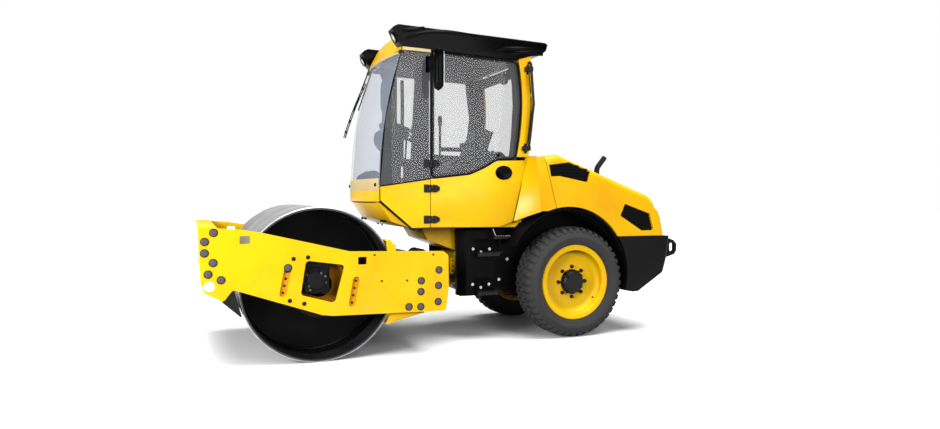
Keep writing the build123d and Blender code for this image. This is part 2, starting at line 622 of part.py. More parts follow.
def rear_cowl():
    """Fixed body between cab and hood: a facet that flares out each side, and a top deck."""
    low_z = SEAM_LOW[1]
    high_z = HOOD_FRONT_TOP[1]
    low_front, high_front = HINGE_X - SEAM_LOW[0], HINGE_X - SEAM_HIGH[0]
    slope = (HOOD_FRONT_TOP[0] - HOOD_FRONT_LOW[0]) / (HOOD_FRONT_TOP[1] - HOOD_FRONT_LOW[1])
    low_rear = HOOD_FRONT_LOW[0] + HOOD_GAP - slope * (HOOD_FRONT_LOW[1] - low_z)
    high_rear = HOOD_FRONT_TOP[0] + HOOD_GAP
    sections = []
    for z, front, flare, rear in [(low_z, low_front, low_front - 210, low_rear),
                                  (high_z, high_front, high_front - 13, high_rear)]:
        points = [(front, CAB_HALF), (flare, BODY_HALF), (rear, BODY_HALF),
                  (rear, -BODY_HALF), (flare, -BODY_HALF), (front, -CAB_HALF)]
        sections.append(Pos(0, 0, z) * make_face(Polyline(*points, close=True)))
    cowl = loft(sections, ruled=True)
    inner = CAB_HALF - DOOR_T - 5
    cowl -= block(low_rear - 200, low_front + 100, -inner, inner, low_z - 10, high_z - 40)
    cowl -= slab([(low_front + 60, low_z - 10), (low_front, low_z), (low_front - 215, low_z + 96),
                  (low_rear - 60, low_z + 96), (low_rear - 60, low_z - 10)],
                 -BODY_HALF - 1, BODY_HALF + 1)
    return cowl - arch_cut(ARCH_RADIUS) + hood_hinge_seats()


def arch_liners():
    """Black inner fender over each rear wheel, with a wall that shuts off the frame."""
    outer = ARCH_RADIUS - LINER_GAP
    band = arch_cut(outer) - arch_cut(outer - LINER_T)
    wedge = slab([(ARCH_X, ARCH_Z), (ARCH_X + 900, ARCH_Z + 480), (ARCH_X + 900, ARCH_Z + 900),
                  (ARCH_X - 900, ARCH_Z + 900), (ARCH_X - 900, ARCH_Z + 330)],
                 MEMBER_OUT, BODY_HALF - 8)
    wall = arch_cut(ARCH_RADIUS - 0.5)
    wall = wall & block(AXLE_X - 440, ARCH_X + 700, MEMBER_OUT, MEMBER_OUT + LINER_T, MEMBER_BOTTOM, 1300)
    wall -= bar((AXLE_X, 300, AXLE_Z), (AXLE_X, 400, AXLE_Z), AXLE_TUBE_R + 20)
    return both_sides((band & wedge) + wall)


def counterweight():
    """Heavy block behind the wheels, cut round them, with two slotted towing lugs."""
    rear = AXLE_X - 1062
    outline = [(AXLE_X - 440, BALLAST_TOP), (rear, BALLAST_TOP), (rear + 32, 703), (rear + 65, 591),
               (rear + 379, 399), (rear + 440, 395), (AXLE_X - 440, 430)]
    body = slab(outline, -BODY_HALF, BODY_HALF)
    upright_edges = [edge for edge in body.edges().filter_by(GeomType.LINE)
                     if abs(edge.center().Y) > BODY_HALF - 1 and edge.center().X < rear + 60]
    body = chamfer(upright_edges, 30)
    body -= arch_cut(ARCH_RADIUS)
    body -= block(FRAME_REAR, AXLE_X, -MEMBER_OUT, MEMBER_OUT, 300, BALLAST_TOP + 10)
    lug = slab([(rear + 40, 895), (rear - 20, 905), (rear - 110, 872), (TAIL_X, 838),
                (TAIL_X, 775), (rear - 118, 735), (rear + 40, 690)], 640, 672, 10)
    slot = slab([(TAIL_X + 32, 846), (TAIL_X + 86, 852), (TAIL_X + 86, 764), (TAIL_X + 32, 764)],
                639, 673, 20)
    return body + both_sides(lug - slot)


# -------------------------------------------------------------------------- cab
# Windscreen edge at the corner, as (ahead of the door hinge, height)
SCREEN_FOOT = (448.0, 1372.0)
SCREEN_MIDDLE = (400.0, 1985.0)
SCREEN_HEAD = (274.0, 2522.0)
LIP_BOTTOM = 1257.0

# Belt line from the windscreen to the seam, as (behind the hinge, height)
BELT = [(-452, 1385), (0, 1453), (364, 1495), (512, 1559), (625, 1626)]


def cab_half_at(ahead):
    """Half width of the cab's tapering front at a distance ahead of the door hinge."""
    return CAB_HALF - (CAB_HALF - CAB_FRONT_HALF) * ahead / SCREEN_FOOT[0]


def front_curve(ahead, inset, bulge=WINDSCREEN_BULGE):
    """Bowed front line in plan between the cab's two corners, and its end points."""
    half = cab_half_at(ahead)
    x = HINGE_X + ahead - inset
    return ThreePointArc((x, half), (x + bulge, 0), (x, -half))


def crescent(ahead, back, height, inset=0.0, bulge=WINDSCREEN_BULGE):
    """Plan face between the bowed front line and a straight line further back."""
    front = front_curve(ahead, inset, bulge)
    start, end = front @ 0, front @ 1
    rest = Polyline((end.X, end.Y), (HINGE_X + back, end.Y), (HINGE_X + back, start.Y), (start.X, start.Y))
    return Pos(0, 0, height) * make_face(front + rest)


def curved_sheet(ahead, height, thickness):
    """Plan face of a bowed sheet between the cab's corners."""
    front = front_curve(ahead, 0)
    back = front_curve(ahead, thickness)
    start, end = front @ 0, front @ 1
    back_start, back_end = back @ 0, back @ 1
    sides = [Line((end.X, end.Y), (back_end.X, back_end.Y)),
             Line((back_start.X, back_start.Y), (start.X, start.Y))]
    return Pos(0, 0, height) * make_face(Curve() + [front, sides[0], back, sides[1]])


def windshield():
    """Bowed front screen, lofted through its foot, middle and head."""
    faces = [curved_sheet(ahead, height, GLASS_T)
             for ahead, height in (SCREEN_FOOT, SCREEN_MIDDLE, SCREEN_HEAD)]
    return loft(faces)


def side_band(thickness, outward=0.0):
    """Tall sheet along the cab's tapering front side, used to cut panels and panes."""
    front = SCREEN_FOOT[0] + 80
    half = cab_half_at(front) + outward
    points = [(HINGE_X + DOOR_GAP, CAB_HALF + outward), (HINGE_X + front, half),
              (HINGE_X + front, half - thickness), (HINGE_X + DOOR_GAP, CAB_HALF + outward - thickness)]
    return plate(points, CAB_BOTTOM - 20, ROOF_TOP)


def roof_underside_at(ahead):
    """Height of the roof's underside at a distance ahead of the hinge."""
    for (x_a, z_a), (x_b, z_b) in zip(ROOF_UNDERSIDE, ROOF_UNDERSIDE[1:]):
        if ahead >= x_b:
            break
    return z_b + (z_a - z_b) * (ahead - x_b) / (x_a - x_b)


def hinge_relief():
    """Room round the knuckles of a left door's three hinges."""
    rooms = [upright(HINGE_X, HINGE_Y, z - LEAF_HEIGHT / 2, z + LEAF_HEIGHT / 2,
                     KNUCKLE_RADIUS + KNUCKLE_GAP + 0.5) for z in DOOR_HINGE_HEIGHTS]
    return rooms[0] + rooms[1] + rooms[2]


def hinge_spacers():
    """Block behind each fixed hinge leaf, from the leaf to the post inside the panel."""
    inner = CAB_HALF - DOOR_T - 5
    spacers = [block(HINGE_X + 24, HINGE_X + 54, inner - 1, CAB_HALF - 2, z - 18, z + 18)
               for z in DOOR_HINGE_HEIGHTS]
    return spacers[0] + spacers[1] + spacers[2]


def fixed_hinges():
    """Fixed leaf, two knuckles and pin of each of a left door's three hinges."""
    foot, tip = HINGE_X + KNUCKLE_RADIUS + KNUCKLE_GAP + 1, HINGE_X + 62
    leaf = [(foot, CAB_HALF - 4), (foot, CAB_HALF + LEAF_T), (tip, CAB_HALF + LEAF_T - 6), (tip, CAB_HALF - 12)]
    neck = [(HINGE_X, HINGE_Y - 6), (HINGE_X, HINGE_Y + 6), (foot + 14, CAB_HALF + LEAF_T), (foot + 14, CAB_HALF - 2)]
    half = LEAF_HEIGHT / 2
    hinges = hinge_spacers()
    for z in DOOR_HINGE_HEIGHTS:
        hinges += plate(leaf, z - half, z + half)
        hinges += upright(HINGE_X, HINGE_Y, z - half + 4, z + half - 4, HINGE_PIN_R)
        for low, high in [(z - half + 4, z - 11 - KNUCKLE_GAP), (z + 11 + KNUCKLE_GAP, z + half - 4)]:
            hinges += upright(HINGE_X, HINGE_Y, low, high, KNUCKLE_RADIUS)
            hinges += plate(neck, low, high)
    return hinges


def door_leaves():
    """Moving leaf and bored knuckle of each of the left door's three hinges."""
    half = LEAF_HEIGHT / 2
    edge = HINGE_X - KNUCKLE_RADIUS - KNUCKLE_GAP - 2
    leaves = None
    for z in DOOR_HINGE_HEIGHTS:
        outline = [(edge, z - half), (edge, z + half), (edge - 34, z + half - 4), (edge - 62, z + 14),
                   (edge - 62, z - 14), (edge - 34, z - half + 4)]
        leaf = slab(outline, CAB_HALF, CAB_HALF + LEAF_T)
        leaf += upright(HINGE_X, HINGE_Y, z - 11, z + 11, KNUCKLE_RADIUS)
        leaf += plate([(HINGE_X, HINGE_Y - 6), (HINGE_X, HINGE_Y + 6), (edge - 12, CAB_HALF + LEAF_T),
                       (edge - 12, CAB_HALF)], z - 11, z + 11)
        leaf -= upright(HINGE_X, HINGE_Y, z - 12, z + 12, HINGE_PIN_R + RUNNING_CLEARANCE)
        leaves = leaf if leaves is None else leaves + leaf
    return leaves


def quarter_glass():
    """Fixed side pane between the windscreen and the door."""
    edge = [(HINGE_X + ahead - GLASS_T - 6, height)
            for ahead, height in (SCREEN_FOOT, SCREEN_MIDDLE, SCREEN_HEAD)]
    top = ROOF_UNDERSIDE[0][1] - 25
    points = [(edge[0][0], 1392), edge[1], edge[2], (edge[2][0] - 12, top),
              (HINGE_X + DOOR_GAP, top - 8), (HINGE_X + DOOR_GAP, BELT[1][1] + 2)]
    pane = slab(points, 400, CAB_HALF + 40) & side_band(GLASS_T)
    return both_sides(pane - hinge_relief() - fixed_hinges() - roof_header())


def cab_side_panels():
    """Yellow lower panel each side, from the nose back to the door hinge."""
    points = [(HINGE_X + SCREEN_FOOT[0] - GLASS_T - 6, BELT[0][1]), (HINGE_X + DOOR_GAP, BELT[1][1]),
              (HINGE_X + DOOR_GAP, CAB_BOTTOM + 6), (HINGE_X + 163, CAB_BOTTOM),
              (HINGE_X + 432, LIP_BOTTOM + 10)]
    panel = slab(points, 400, CAB_HALF + 40) & side_band(PANEL_T)
    return both_sides(panel - hinge_relief() - fixed_hinges())


def cab_nose():
    """Bowed lip under the windscreen, with the sloping chin below it."""
    inset = PANEL_T + 1
    front = SCREEN_FOOT[0] + 6
    lip = extrude(crescent(front, 330, LIP_BOTTOM, bulge=WINDSCREEN_BULGE + 4), amount=SCREEN_FOOT[1] - 2 - LIP_BOTTOM)
    lip = lip & plate([(HINGE_X + 300, -CAB_FRONT_HALF), (HINGE_X + 620, -CAB_FRONT_HALF),
                       (HINGE_X + 620, CAB_FRONT_HALF), (HINGE_X + 300, CAB_FRONT_HALF)],
                      LIP_BOTTOM, SCREEN_FOOT[1])
    inner = cab_half_at(SCREEN_FOOT[0]) - inset
    side_cut = block(HINGE_X + 300, HINGE_X + SCREEN_FOOT[0] - 3, inner, CAB_HALF + 60,
                     LIP_BOTTOM - 1, SCREEN_FOOT[1] + 1)
    lip = lip - side_cut - mirrored(side_cut)
    chin_low = CAB_BOTTOM - 10
    chin = loft([crescent(285, 0, chin_low, bulge=55), crescent(438, 0, LIP_BOTTOM - 6, bulge=52)], ruled=True)
    trim = [(HINGE_X + 700, chin_low - 20), (HINGE_X + 700, 1195), (HINGE_X + 425, 1116),
            (HINGE_X + 170, CAB_BOTTOM - 2), (HINGE_X - 20, CAB_BOTTOM - 2), (HINGE_X - 20, chin_low - 20)]
    chin -= slab(trim, -CAB_HALF - 50, CAB_HALF + 50)
    floor = CAB_BOTTOM + FLOOR_T
    hollow = [(HINGE_X - 1, floor), (HINGE_X + 170, floor), (HINGE_X + 385, floor + 90),
              (HINGE_X + 425, LIP_BOTTOM + 10), (HINGE_X - 1, LIP_BOTTOM + 10)]
    chin -= slab(hollow, -490, 490)
    post_room = block(HINGE_X - 1, HINGE_X + 4 + POST_SIZE, 490, CAB_HALF - DOOR_T - 5, floor, LIP_BOTTOM)
    chin = chin - post_room - mirrored(post_room)
    band = side_band(CAB_HALF, outward=-PANEL_T - 2)
    chin = chin & (band + mirrored(band))
    spacers = hinge_spacers()
    return lip + chin - spacers - mirrored(spacers)


def cab_floor():
    """Floor pan of the cab, with the wedge-shaped platform that carries its front."""
    front = HINGE_X - 2
    rear = HINGE_X - SEAM_HIGH[0] + 4
    inner = CAB_HALF - DOOR_T - 5
    pan = block(rear, front, -inner, inner, CAB_BOTTOM - 6, CAB_BOTTOM + FLOOR_T)
    wedge = slab([(HINGE_X - 2, CAB_BOTTOM - 6), (HINGE_X - 75, 906), (HINGE_X - 340, 804),
                  (HINGE_X - 340, CAB_BOTTOM - 6)], -300, 300)
    return pan + wedge - arch_cut(ARCH_RADIUS)


def front_posts():
    """Straight roll-over post behind each door hinge, with the door's fixed hinge leaves."""
    inner = CAB_HALF - DOOR_T - 5
    post = block(HINGE_X + 4, HINGE_X + 4 + POST_SIZE, inner - POST_SIZE, inner,
                 CAB_BOTTOM + FLOOR_T, roof_underside_at(34) + 20)
    return both_sides(post + fixed_hinges()) - roof()


def rear_posts():
    """Bowed roll-over post at each rear corner of the cab, on a straight inner foot."""
    inner = CAB_HALF - DOOR_T - 5
    head_out, waist_out, foot_out = 962.0, 1002.0, 945.0
    head_in, waist_in, foot_in = 835.0, 884.0, 828.0
    foot_z, head_z = SEAM_HIGH[1] + 16, 2600.0
    x = HINGE_X
    face = make_face(Curve() + [
        ThreePointArc((x - foot_in, foot_z), (x - waist_in, 2138), (x - head_in, head_z)),
        Line((x - head_in, head_z), (x - head_out, head_z)),
        ThreePointArc((x - head_out, head_z), (x - waist_out, 2145), (x - foot_out, foot_z)),
        Line((x - foot_out, foot_z), (x - foot_in, foot_z))])
    plane = Plane(origin=(0, CAB_HALF, 0), x_dir=(1, 0, 0), z_dir=(0, -1, 0))
    rear = extrude(plane * face, amount=100)
    rear += block(x - 896, x - 836, inner - POST_SIZE, inner, CAB_BOTTOM + FLOOR_T, foot_z + 20)
    return both_sides(rear) - roof()


def rear_wall():
    """Lower back wall of the cab, up to the sill of the rear window."""
    inner = CAB_HALF - DOOR_T - 5
    front = HINGE_X - 898
    wall = block(front - 26, front, -inner, inner, CAB_BOTTOM + FLOOR_T, SEAM_HIGH[1] - 30)
    return wall - arch_cut(ARCH_RADIUS)


def rear_window():
    """Rear pane between the two bowed posts."""
    half = CAB_HALF - 102
    x = HINGE_X - 930
    return slab([(x, SEAM_HIGH[1] + 20), (x - 42, 2140), (x - 10, 2556), (x - 10 - GLASS_T, 2556),
                 (x - 42 - GLASS_T, 2140), (x - GLASS_T, SEAM_HIGH[1] + 20)], -half, half)


def roof():
    """Moulded roof with two lamp pods in front, an overhang behind and a raised middle."""
    x = HINGE_X
    front = [(294, 2614), (349, 2719), (322, 2750), (288, 2766)]
    rear = [(-1110, 2728), (-1137, 2708), (-1120, 2650), (-1040, 2597), (-960, 2590)]
    outline = front + rear + ROOF_UNDERSIDE[::-1]
    shell = slab([(x + ahead, height) for ahead, height in outline], -ROOF_HALF, ROOF_HALF)
    long_edges = [edge for edge in shell.edges().filter_by(GeomType.LINE)
                  if abs(edge.center().Y) > ROOF_HALF - 1 and edge.center().Z > 2740]
    shell = fillet(long_edges, 20)
    crown = slab([(x + 150, 2750), (x + 110, ROOF_TOP), (x - 1000, ROOF_TOP), (x - 1050, 2725)],
                 -430, 430)
    shell += crown
    shell -= block(x + 168, x + 400, -POD_IN, POD_IN, 2500, 2800)
    rings = both_sides(front_lamp(LAMP_RADIUS + 10, 5))
    return shell + rings - work_lights()


def front_lamp(radius, proud):
    """Round bar square to the front face of the left lamp pod."""
    x, y, z = HINGE_X + 315.5, ROOF_HALF - 47, 2655.0
    lean = Vector(0.886, 0, -0.464)
    centre = Vector(x, y, z)
    return bar(tuple(centre - lean * 36), tuple(centre + lean * proud), radius)


def roof_header():
    """Yellow panel over the windscreen, leaning back between the roof's lamp pods."""
    low = crescent(280, 205, SCREEN_HEAD[1] + 22, bulge=WINDSCREEN_BULGE - 12)
    high = crescent(179, 104, 2736, bulge=WINDSCREEN_BULGE - 12)
    header = loft([low, high], ruled=True)
    return header - roof()


def work_lights():
    """Round work lamps: two in the roof's front pods, two behind."""
    x = HINGE_X
    rear = bar((x - 1100, 470, 2684), (x - 1138, 470, 2684), 28)
    return both_sides(front_lamp(LAMP_RADIUS, 8) + rear)


def mirrors():
    """Long mirror head on each side, clamped to an arm that hangs from the roof's edge."""
    x = HINGE_X
    head = block(x - 23, x + 61, 790, 900, 2182, 2541)
    head = fillet(head.edges().filter_by(Axis.Z), 30)
    ends = [edge for edge in head.edges() if abs(edge.center().Z - 2361.5) > 179]
    head = fillet(ends, 22)
    arm = bar((x + 38, 624, 2582), (x + 73, 700, 2353), 11)
    arm += bar((x + 38, ROOF_HALF, 2590), (x + 38, 632, 2590), 14)
    clamp = block(x + 44, x + 92, 680, 722, 2372, 2460)
    stub = bar((x + 62, 700, 2415), (x + 30, 800, 2415), 13)
    return both_sides(head + arm + clamp + stub)


def seat():
    """Operator's seat: pedestal, cushion, back and two armrests."""
    x = HINGE_X - 560
    pedestal = block(x - 170, x + 170, -170, 170, CAB_BOTTOM + FLOOR_T, 1500)
    cushion = block(x - 230, x + 250, -240, 240, 1500, 1610)
    back = slab([(x - 235, 1560), (x - 145, 1560), (x - 190, 1990), (x - 300, 1990)], -230, 230, 20)
    arms = block(x - 255, x + 64, 250, 310, 1795, 1845)
    arms += block(x - 250, x - 190, 226, 290, 1640, 1800)
    return pedestal + cushion + back + both_sides(arms)


def steering_console():
    """Steering column with its wheel, and the dash box in the windscreen's foot."""
    x = HINGE_X + 120
    column = slab([(x - 40, CAB_BOTTOM + FLOOR_T), (x + 48, CAB_BOTTOM + FLOOR_T), (x + 90, 1300),
                   (x + 60, 1850), (x - 20, 1850), (x + 10, 1300)], -70, 70)
    dash = slab([(x - 10, 1840), (x + 110, 1900), (x + 120, 1990), (x + 20, 1940)], -150, 150)
    section = make_face(Polyline((171, -6), (185, -14), (199, -6), (199, 6), (185, 14), (171, 6), close=True))
    ring = revolve(Plane.XZ * section, axis=Axis.Z, revolution_arc=360)
    wheel = Plane(origin=(x - 70, 0, 1900), z_dir=(-0.5, 0, 0.87)) * ring
    spoke = bar((x - 70, -178, 1900), (x - 70, 178, 1900), 10)
    stem = bar((x - 76, 0, 1910), (x + 40, 0, 1800), 28)
    return column + dash + wheel + spoke + stem


def grab_handles():
    """Bowed grab handle on the outside of each rear post."""
    x = HINGE_X
    y = CAB_HALF + 45
    path = FilletPolyline((x - 944, CAB_HALF, 2528), (x - 944, y, 2528), (x - 975, y, 2150),
                          (x - 925, y, 1740), (x - 925, CAB_HALF, 1740), radius=30)
    section = Plane(origin=(x - 944, CAB_HALF, 2528), z_dir=(0, 1, 0)) * Circle(12)
    return both_sides(sweep(section, path=path))


# ------------------------------------------------------------------------ doors
def seam_x(height):
    """X of the body seam at a height."""
    share = (height - SEAM_LOW[1]) / (SEAM_HIGH[1] - SEAM_LOW[1])
    return HINGE_X - SEAM_LOW[0] - share * (SEAM_HIGH[0] - SEAM_LOW[0])


def door_panel():
    """Yellow lower part of the left door."""
    belt = behind_hinge(BELT[2:])
    top = SEAM_HIGH[1] - 14
    points = [(HINGE_X, CAB_BOTTOM + 6), (HINGE_X, BELT[1][1]), *belt, (seam_x(top) + DOOR_GAP, top),
              (seam_x(SEAM_LOW[1]) + DOOR_GAP, SEAM_LOW[1]), (HINGE_X - 651, CAB_BOTTOM)]
    return slab(points, CAB_HALF - DOOR_T, CAB_HALF) - hinge_relief()


def pane_outline(inset):
    """Outline of the door above the belt line, drawn in by an inset."""
    belt = behind_hinge(BELT[2:])
    top = [roof_underside_at(ahead) - DOOR_ROOF_GAP for ahead in (0, -425, -809)]
    rear = [(HINGE_X - 826, top[2]), (HINGE_X - 876, 2138), (HINGE_X - 820, SEAM_HIGH[1] - 8)]
    outline = [(HINGE_X, BELT[1][1] + 1), (HINGE_X, top[0]), (HINGE_X - 425, top[1]), *rear,
               *[(x, z + 1) for x, z in reversed(belt)]]
    face = make_face(Polyline(*outline, close=True))
    return offset(face, -inset, kind=Kind.INTERSECTION) if inset else face


def door_pane(inset, y_from, y_to):
    """Upright sheet with the outline of the door above the belt line."""
    plane = Plane(origin=(0, y_to, 0), x_dir=(1, 0, 0), z_dir=(0, -1, 0))
    return extrude(plane * pane_outline(inset), amount=y_to - y_from)


def door_glass():
    """Large pane of the left door, from the belt line to the roof."""
    return door_pane(0, CAB_HALF - GLASS_T, CAB_HALF) - hinge_relief()


def door_frame():
    """Black frame round the inside of the left door's pane, with the door's hinge leaves."""
    inner, outer = CAB_HALF - DOOR_T, CAB_HALF - GLASS_T
    frame = door_pane(0, inner, outer) - door_pane(DOOR_FRAME_W, inner - 1, outer + 1)
    return frame - hinge_relief() + door_leaves()


# ------------------------------------------------------------------------ build
SINGLE_NODES = {
    "side_plates": side_plates,
    "front_crossmember": front_crossmember,
    "rear_crossmember": rear_crossmember,
    "drum_carriers": drum_carriers,
    "drum_motors": drum_motors,
    "front_scraper": front_scraper,
    "rear_scrapers": rear_scrapers,
    "drum_shell": drum_shell,
    "drum_heads": drum_heads,
    "articulation_yoke": articulation_yoke,
    "steering_barrel": steering_barrel,
    "steering_rod": steering_rod,
    "rear_frame": rear_frame,
    "rear_axle": rear_axle,
    "engine_block": engine_block,
    "side_tanks": side_tanks,
    "cab_steps": cab_steps,
    "rear_cowl": rear_cowl,
    "arch_liners": arch_liners,
    "counterweight": counterweight,
    "hood": hood,
    "hood_grilles": hood_grilles,
    "exhaust_pipe": exhaust_pipe,
    "cab_floor": cab_floor,
    "cab_nose": cab_nose,
    "cab_side_panels": cab_side_panels,
    "front_posts": front_posts,
    "rear_posts": rear_posts,
    "windshield": windshield,
    "quarter_glass": quarter_glass,
    "rear_wall": rear_wall,
    "rear_window": rear_window,
    "roof": roof,
    "roof_header": roof_header,
    "work_lights": work_lights,
    "mirrors": mirrors,
    "seat": seat,
    "steering_console": steering_console,
    "grab_handles": grab_handles,
}

# Pieces made once and mirrored to the right side, each side its own node
PAIRED_NODES = {
    "tyre": tyre,
    "rim": rim,
    "hub": hub,
    "door_panel": door_panel,
    "door_glass": door_glass,
    "door_frame": door_frame,
}


def main():
    """Write one STEP file per node into parts/."""
    os.makedirs("parts", exist_ok=True)
    nodes = {name: make() for name, make in SINGLE_NODES.items()}
    for name, make in PAIRED_NODES.items():
        left = make()
        nodes[name + "_left"] = left
        nodes[name + "_right"] = mirrored(left)
    for name, part in nodes.items():
        export_step(part, f"parts/{name}.step")
        print(name, len(part.solids()))


main()
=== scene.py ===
"""Single-drum road roller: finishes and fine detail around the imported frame.

Everything is in metres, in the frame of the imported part: +X forward, +Y to the machine's left
and +Z up. Each sub-assembly is a class that holds its sizes, builds its pieces and dresses them.
"""

import json
import logging
import math
from dataclasses import dataclass, field
from enum import Enum
from typing import Any, Iterable, Optional, Sequence

import bmesh
import bpy
from mathutils import Matrix, Vector

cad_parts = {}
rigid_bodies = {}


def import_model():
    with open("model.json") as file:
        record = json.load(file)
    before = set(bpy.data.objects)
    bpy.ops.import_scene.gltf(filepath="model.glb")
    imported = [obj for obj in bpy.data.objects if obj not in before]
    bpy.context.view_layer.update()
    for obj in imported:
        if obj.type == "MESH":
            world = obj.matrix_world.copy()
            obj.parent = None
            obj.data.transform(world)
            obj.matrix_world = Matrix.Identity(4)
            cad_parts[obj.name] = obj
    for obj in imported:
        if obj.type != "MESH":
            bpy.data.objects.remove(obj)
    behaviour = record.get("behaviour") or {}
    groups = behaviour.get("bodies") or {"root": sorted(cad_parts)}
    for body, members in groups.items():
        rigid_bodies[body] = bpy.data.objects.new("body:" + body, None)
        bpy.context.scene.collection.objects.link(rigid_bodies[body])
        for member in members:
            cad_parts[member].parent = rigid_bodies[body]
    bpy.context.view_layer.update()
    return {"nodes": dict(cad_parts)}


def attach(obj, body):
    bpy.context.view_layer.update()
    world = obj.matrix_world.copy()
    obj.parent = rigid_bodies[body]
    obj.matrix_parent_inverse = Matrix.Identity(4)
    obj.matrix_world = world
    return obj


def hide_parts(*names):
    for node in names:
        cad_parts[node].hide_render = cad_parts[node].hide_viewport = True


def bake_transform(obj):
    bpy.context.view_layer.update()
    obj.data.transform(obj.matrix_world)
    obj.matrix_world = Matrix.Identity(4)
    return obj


LOG = logging.getLogger("roller")

Point = tuple[float, float, float]
Flat = tuple[float, float]
Item = bpy.types.Object
Mesh = bpy.types.Mesh
Tree = bpy.types.NodeTree
Node = bpy.types.Node
ORIGIN: Point = (0.0, 0.0, 0.0)
SIDEWAYS: Point = (0.0, 1.0, 0.0)

frame: dict[str, Any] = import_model()
SHARP = math.radians(32)
# Fullness of a rounded edge, 0.5 being a plain arc.
ROUND = 0.6
# Broad flats: least width in metres, and the bends that count as level and as curved.
BROAD, LEVEL, CURVED = 0.012, 0.006, 0.17


# ------------------------------------------------------------------ shared sizes
@dataclass(frozen=True)
class Stations:
    """Places that several sub-assemblies share, in metres."""

    drum_x: float = 1.345
    drum_z: float = 0.61
    drum_radius: float = 0.61
    drum_half: float = 0.843
    plate_out: float = 0.915
    axle_x: float = -1.027
    axle_z: float = 0.511
    tyre_y: float = 0.615
    hinge_x: float = 0.345
    cab_half: float = 0.6

    @property
    def drum(self) -> Point:
        """Middle of the drum."""
        return self.drum_x, 0.0, self.drum_z

    def from_drum(self, ahead: float, above: float) -> Flat:
        """A point given in millimetres ahead of and above the drum's axis."""
        return self.drum_x + ahead / 1000, self.drum_z + above / 1000

    def from_hinge(self, behind: float, height: float) -> Flat:
        """A point given in millimetres behind the door hinge and above the ground."""
        return self.hinge_x - behind / 1000, height / 1000

    def from_axle(self, behind: float, height: float) -> Flat:
        """A point given in millimetres behind the rear axle and above the ground."""
        return self.axle_x - behind / 1000, height / 1000

    def cab_half_at(self, ahead: float) -> float:
        """Half width of the cab's tapering front, a distance in millimetres ahead of the hinge."""
        return self.cab_half - 0.055 * ahead / 448


AT = Stations()


class Side(Enum):
    """The machine's two sides, as the sign of their Y."""

    LEFT = 1
    RIGHT = -1

    @property
    def tail(self) -> str:
        """Ending for the names of this side's pieces."""
        return "left" if self is Side.LEFT else "right"


class Body(Enum):
    """The rigid bodies that a piece can ride on."""

    FRAME = "rear_frame"
    DRUM_FRAME = "front_frame"
    DRUM = "drum"
    YOKE = "yoke"
    HOOD = "hood_lid"
    DOOR_LEFT = "door_left"
    DOOR_RIGHT = "door_right"
    WHEEL_LEFT = "wheel_left"
    WHEEL_RIGHT = "wheel_right"


DOORS = {Side.LEFT: Body.DOOR_LEFT, Side.RIGHT: Body.DOOR_RIGHT}
WHEELS = {Side.LEFT: Body.WHEEL_LEFT, Side.RIGHT: Body.WHEEL_RIGHT}


class Along(Enum):
    """The axis that an outline is drawn out along; its own two axes are the others, in order."""

    X = "x"
    Y = "y"
    Z = "z"

    def place(self, first: float, second: float, out: float) -> Point:
        """The point at two outline values and a distance along the axis."""
        return {Along.X: (out, first, second), Along.Y: (first, out, second),
            Along.Z: (first, second, out)}[self]


# ---------------------------------------------------------------- node materials
def linear(hex_colour: str) -> tuple[float, float, float, float]:
    """Turn an sRGB hex colour to linear RGBA.

    Args:
        hex_colour: six hex digits with a leading #.

    Returns:
        Linear red, green, blue and an alpha of one.
    """
    parts = [int(hex_colour[i:i + 2], 16) / 255 for i in (1, 3, 5)]
    red, green, blue = (p / 12.92 if p <= 0.04045 else ((p + 0.055) / 1.055) ** 2.4 for p in parts)
    return red, green, blue, 1.0


def add_node(tree: Tree, kind: str, settings: Optional[dict[Any, Any]] = None,
        links: Optional[dict[Any, Any]] = None) -> Node:
    """Add a node, set its properties and input values, and link its inputs.

    Args:
        tree: the node tree to add to.
        kind: the node's type name.
        settings: property names, or input names and numbers, with their values.
        links: input names or numbers, each with the output socket that feeds it.

    Returns:
        The new node.
    """
    node = tree.nodes.new(kind)
    for name, value in (settings or {}).items():
        if isinstance(name, str) and hasattr(node, name):
            setattr(node, name, value)
        else:
            node.inputs[name].default_value = value
    for name, socket in (links or {}).items():
        tree.links.new(socket, node.inputs[name])
    return node


def maths(tree: Tree, operation: str, *values: Any) -> Any:
    """The result of a maths node on numbers or sockets, in order."""
    numbers = {i: value for i, value in enumerate(values) if isinstance(value, float)}
    sockets = {i: value for i, value in enumerate(values) if i not in numbers}
    return add_node(tree, "ShaderNodeMath", {"operation": operation, **numbers}, sockets).outputs[0]


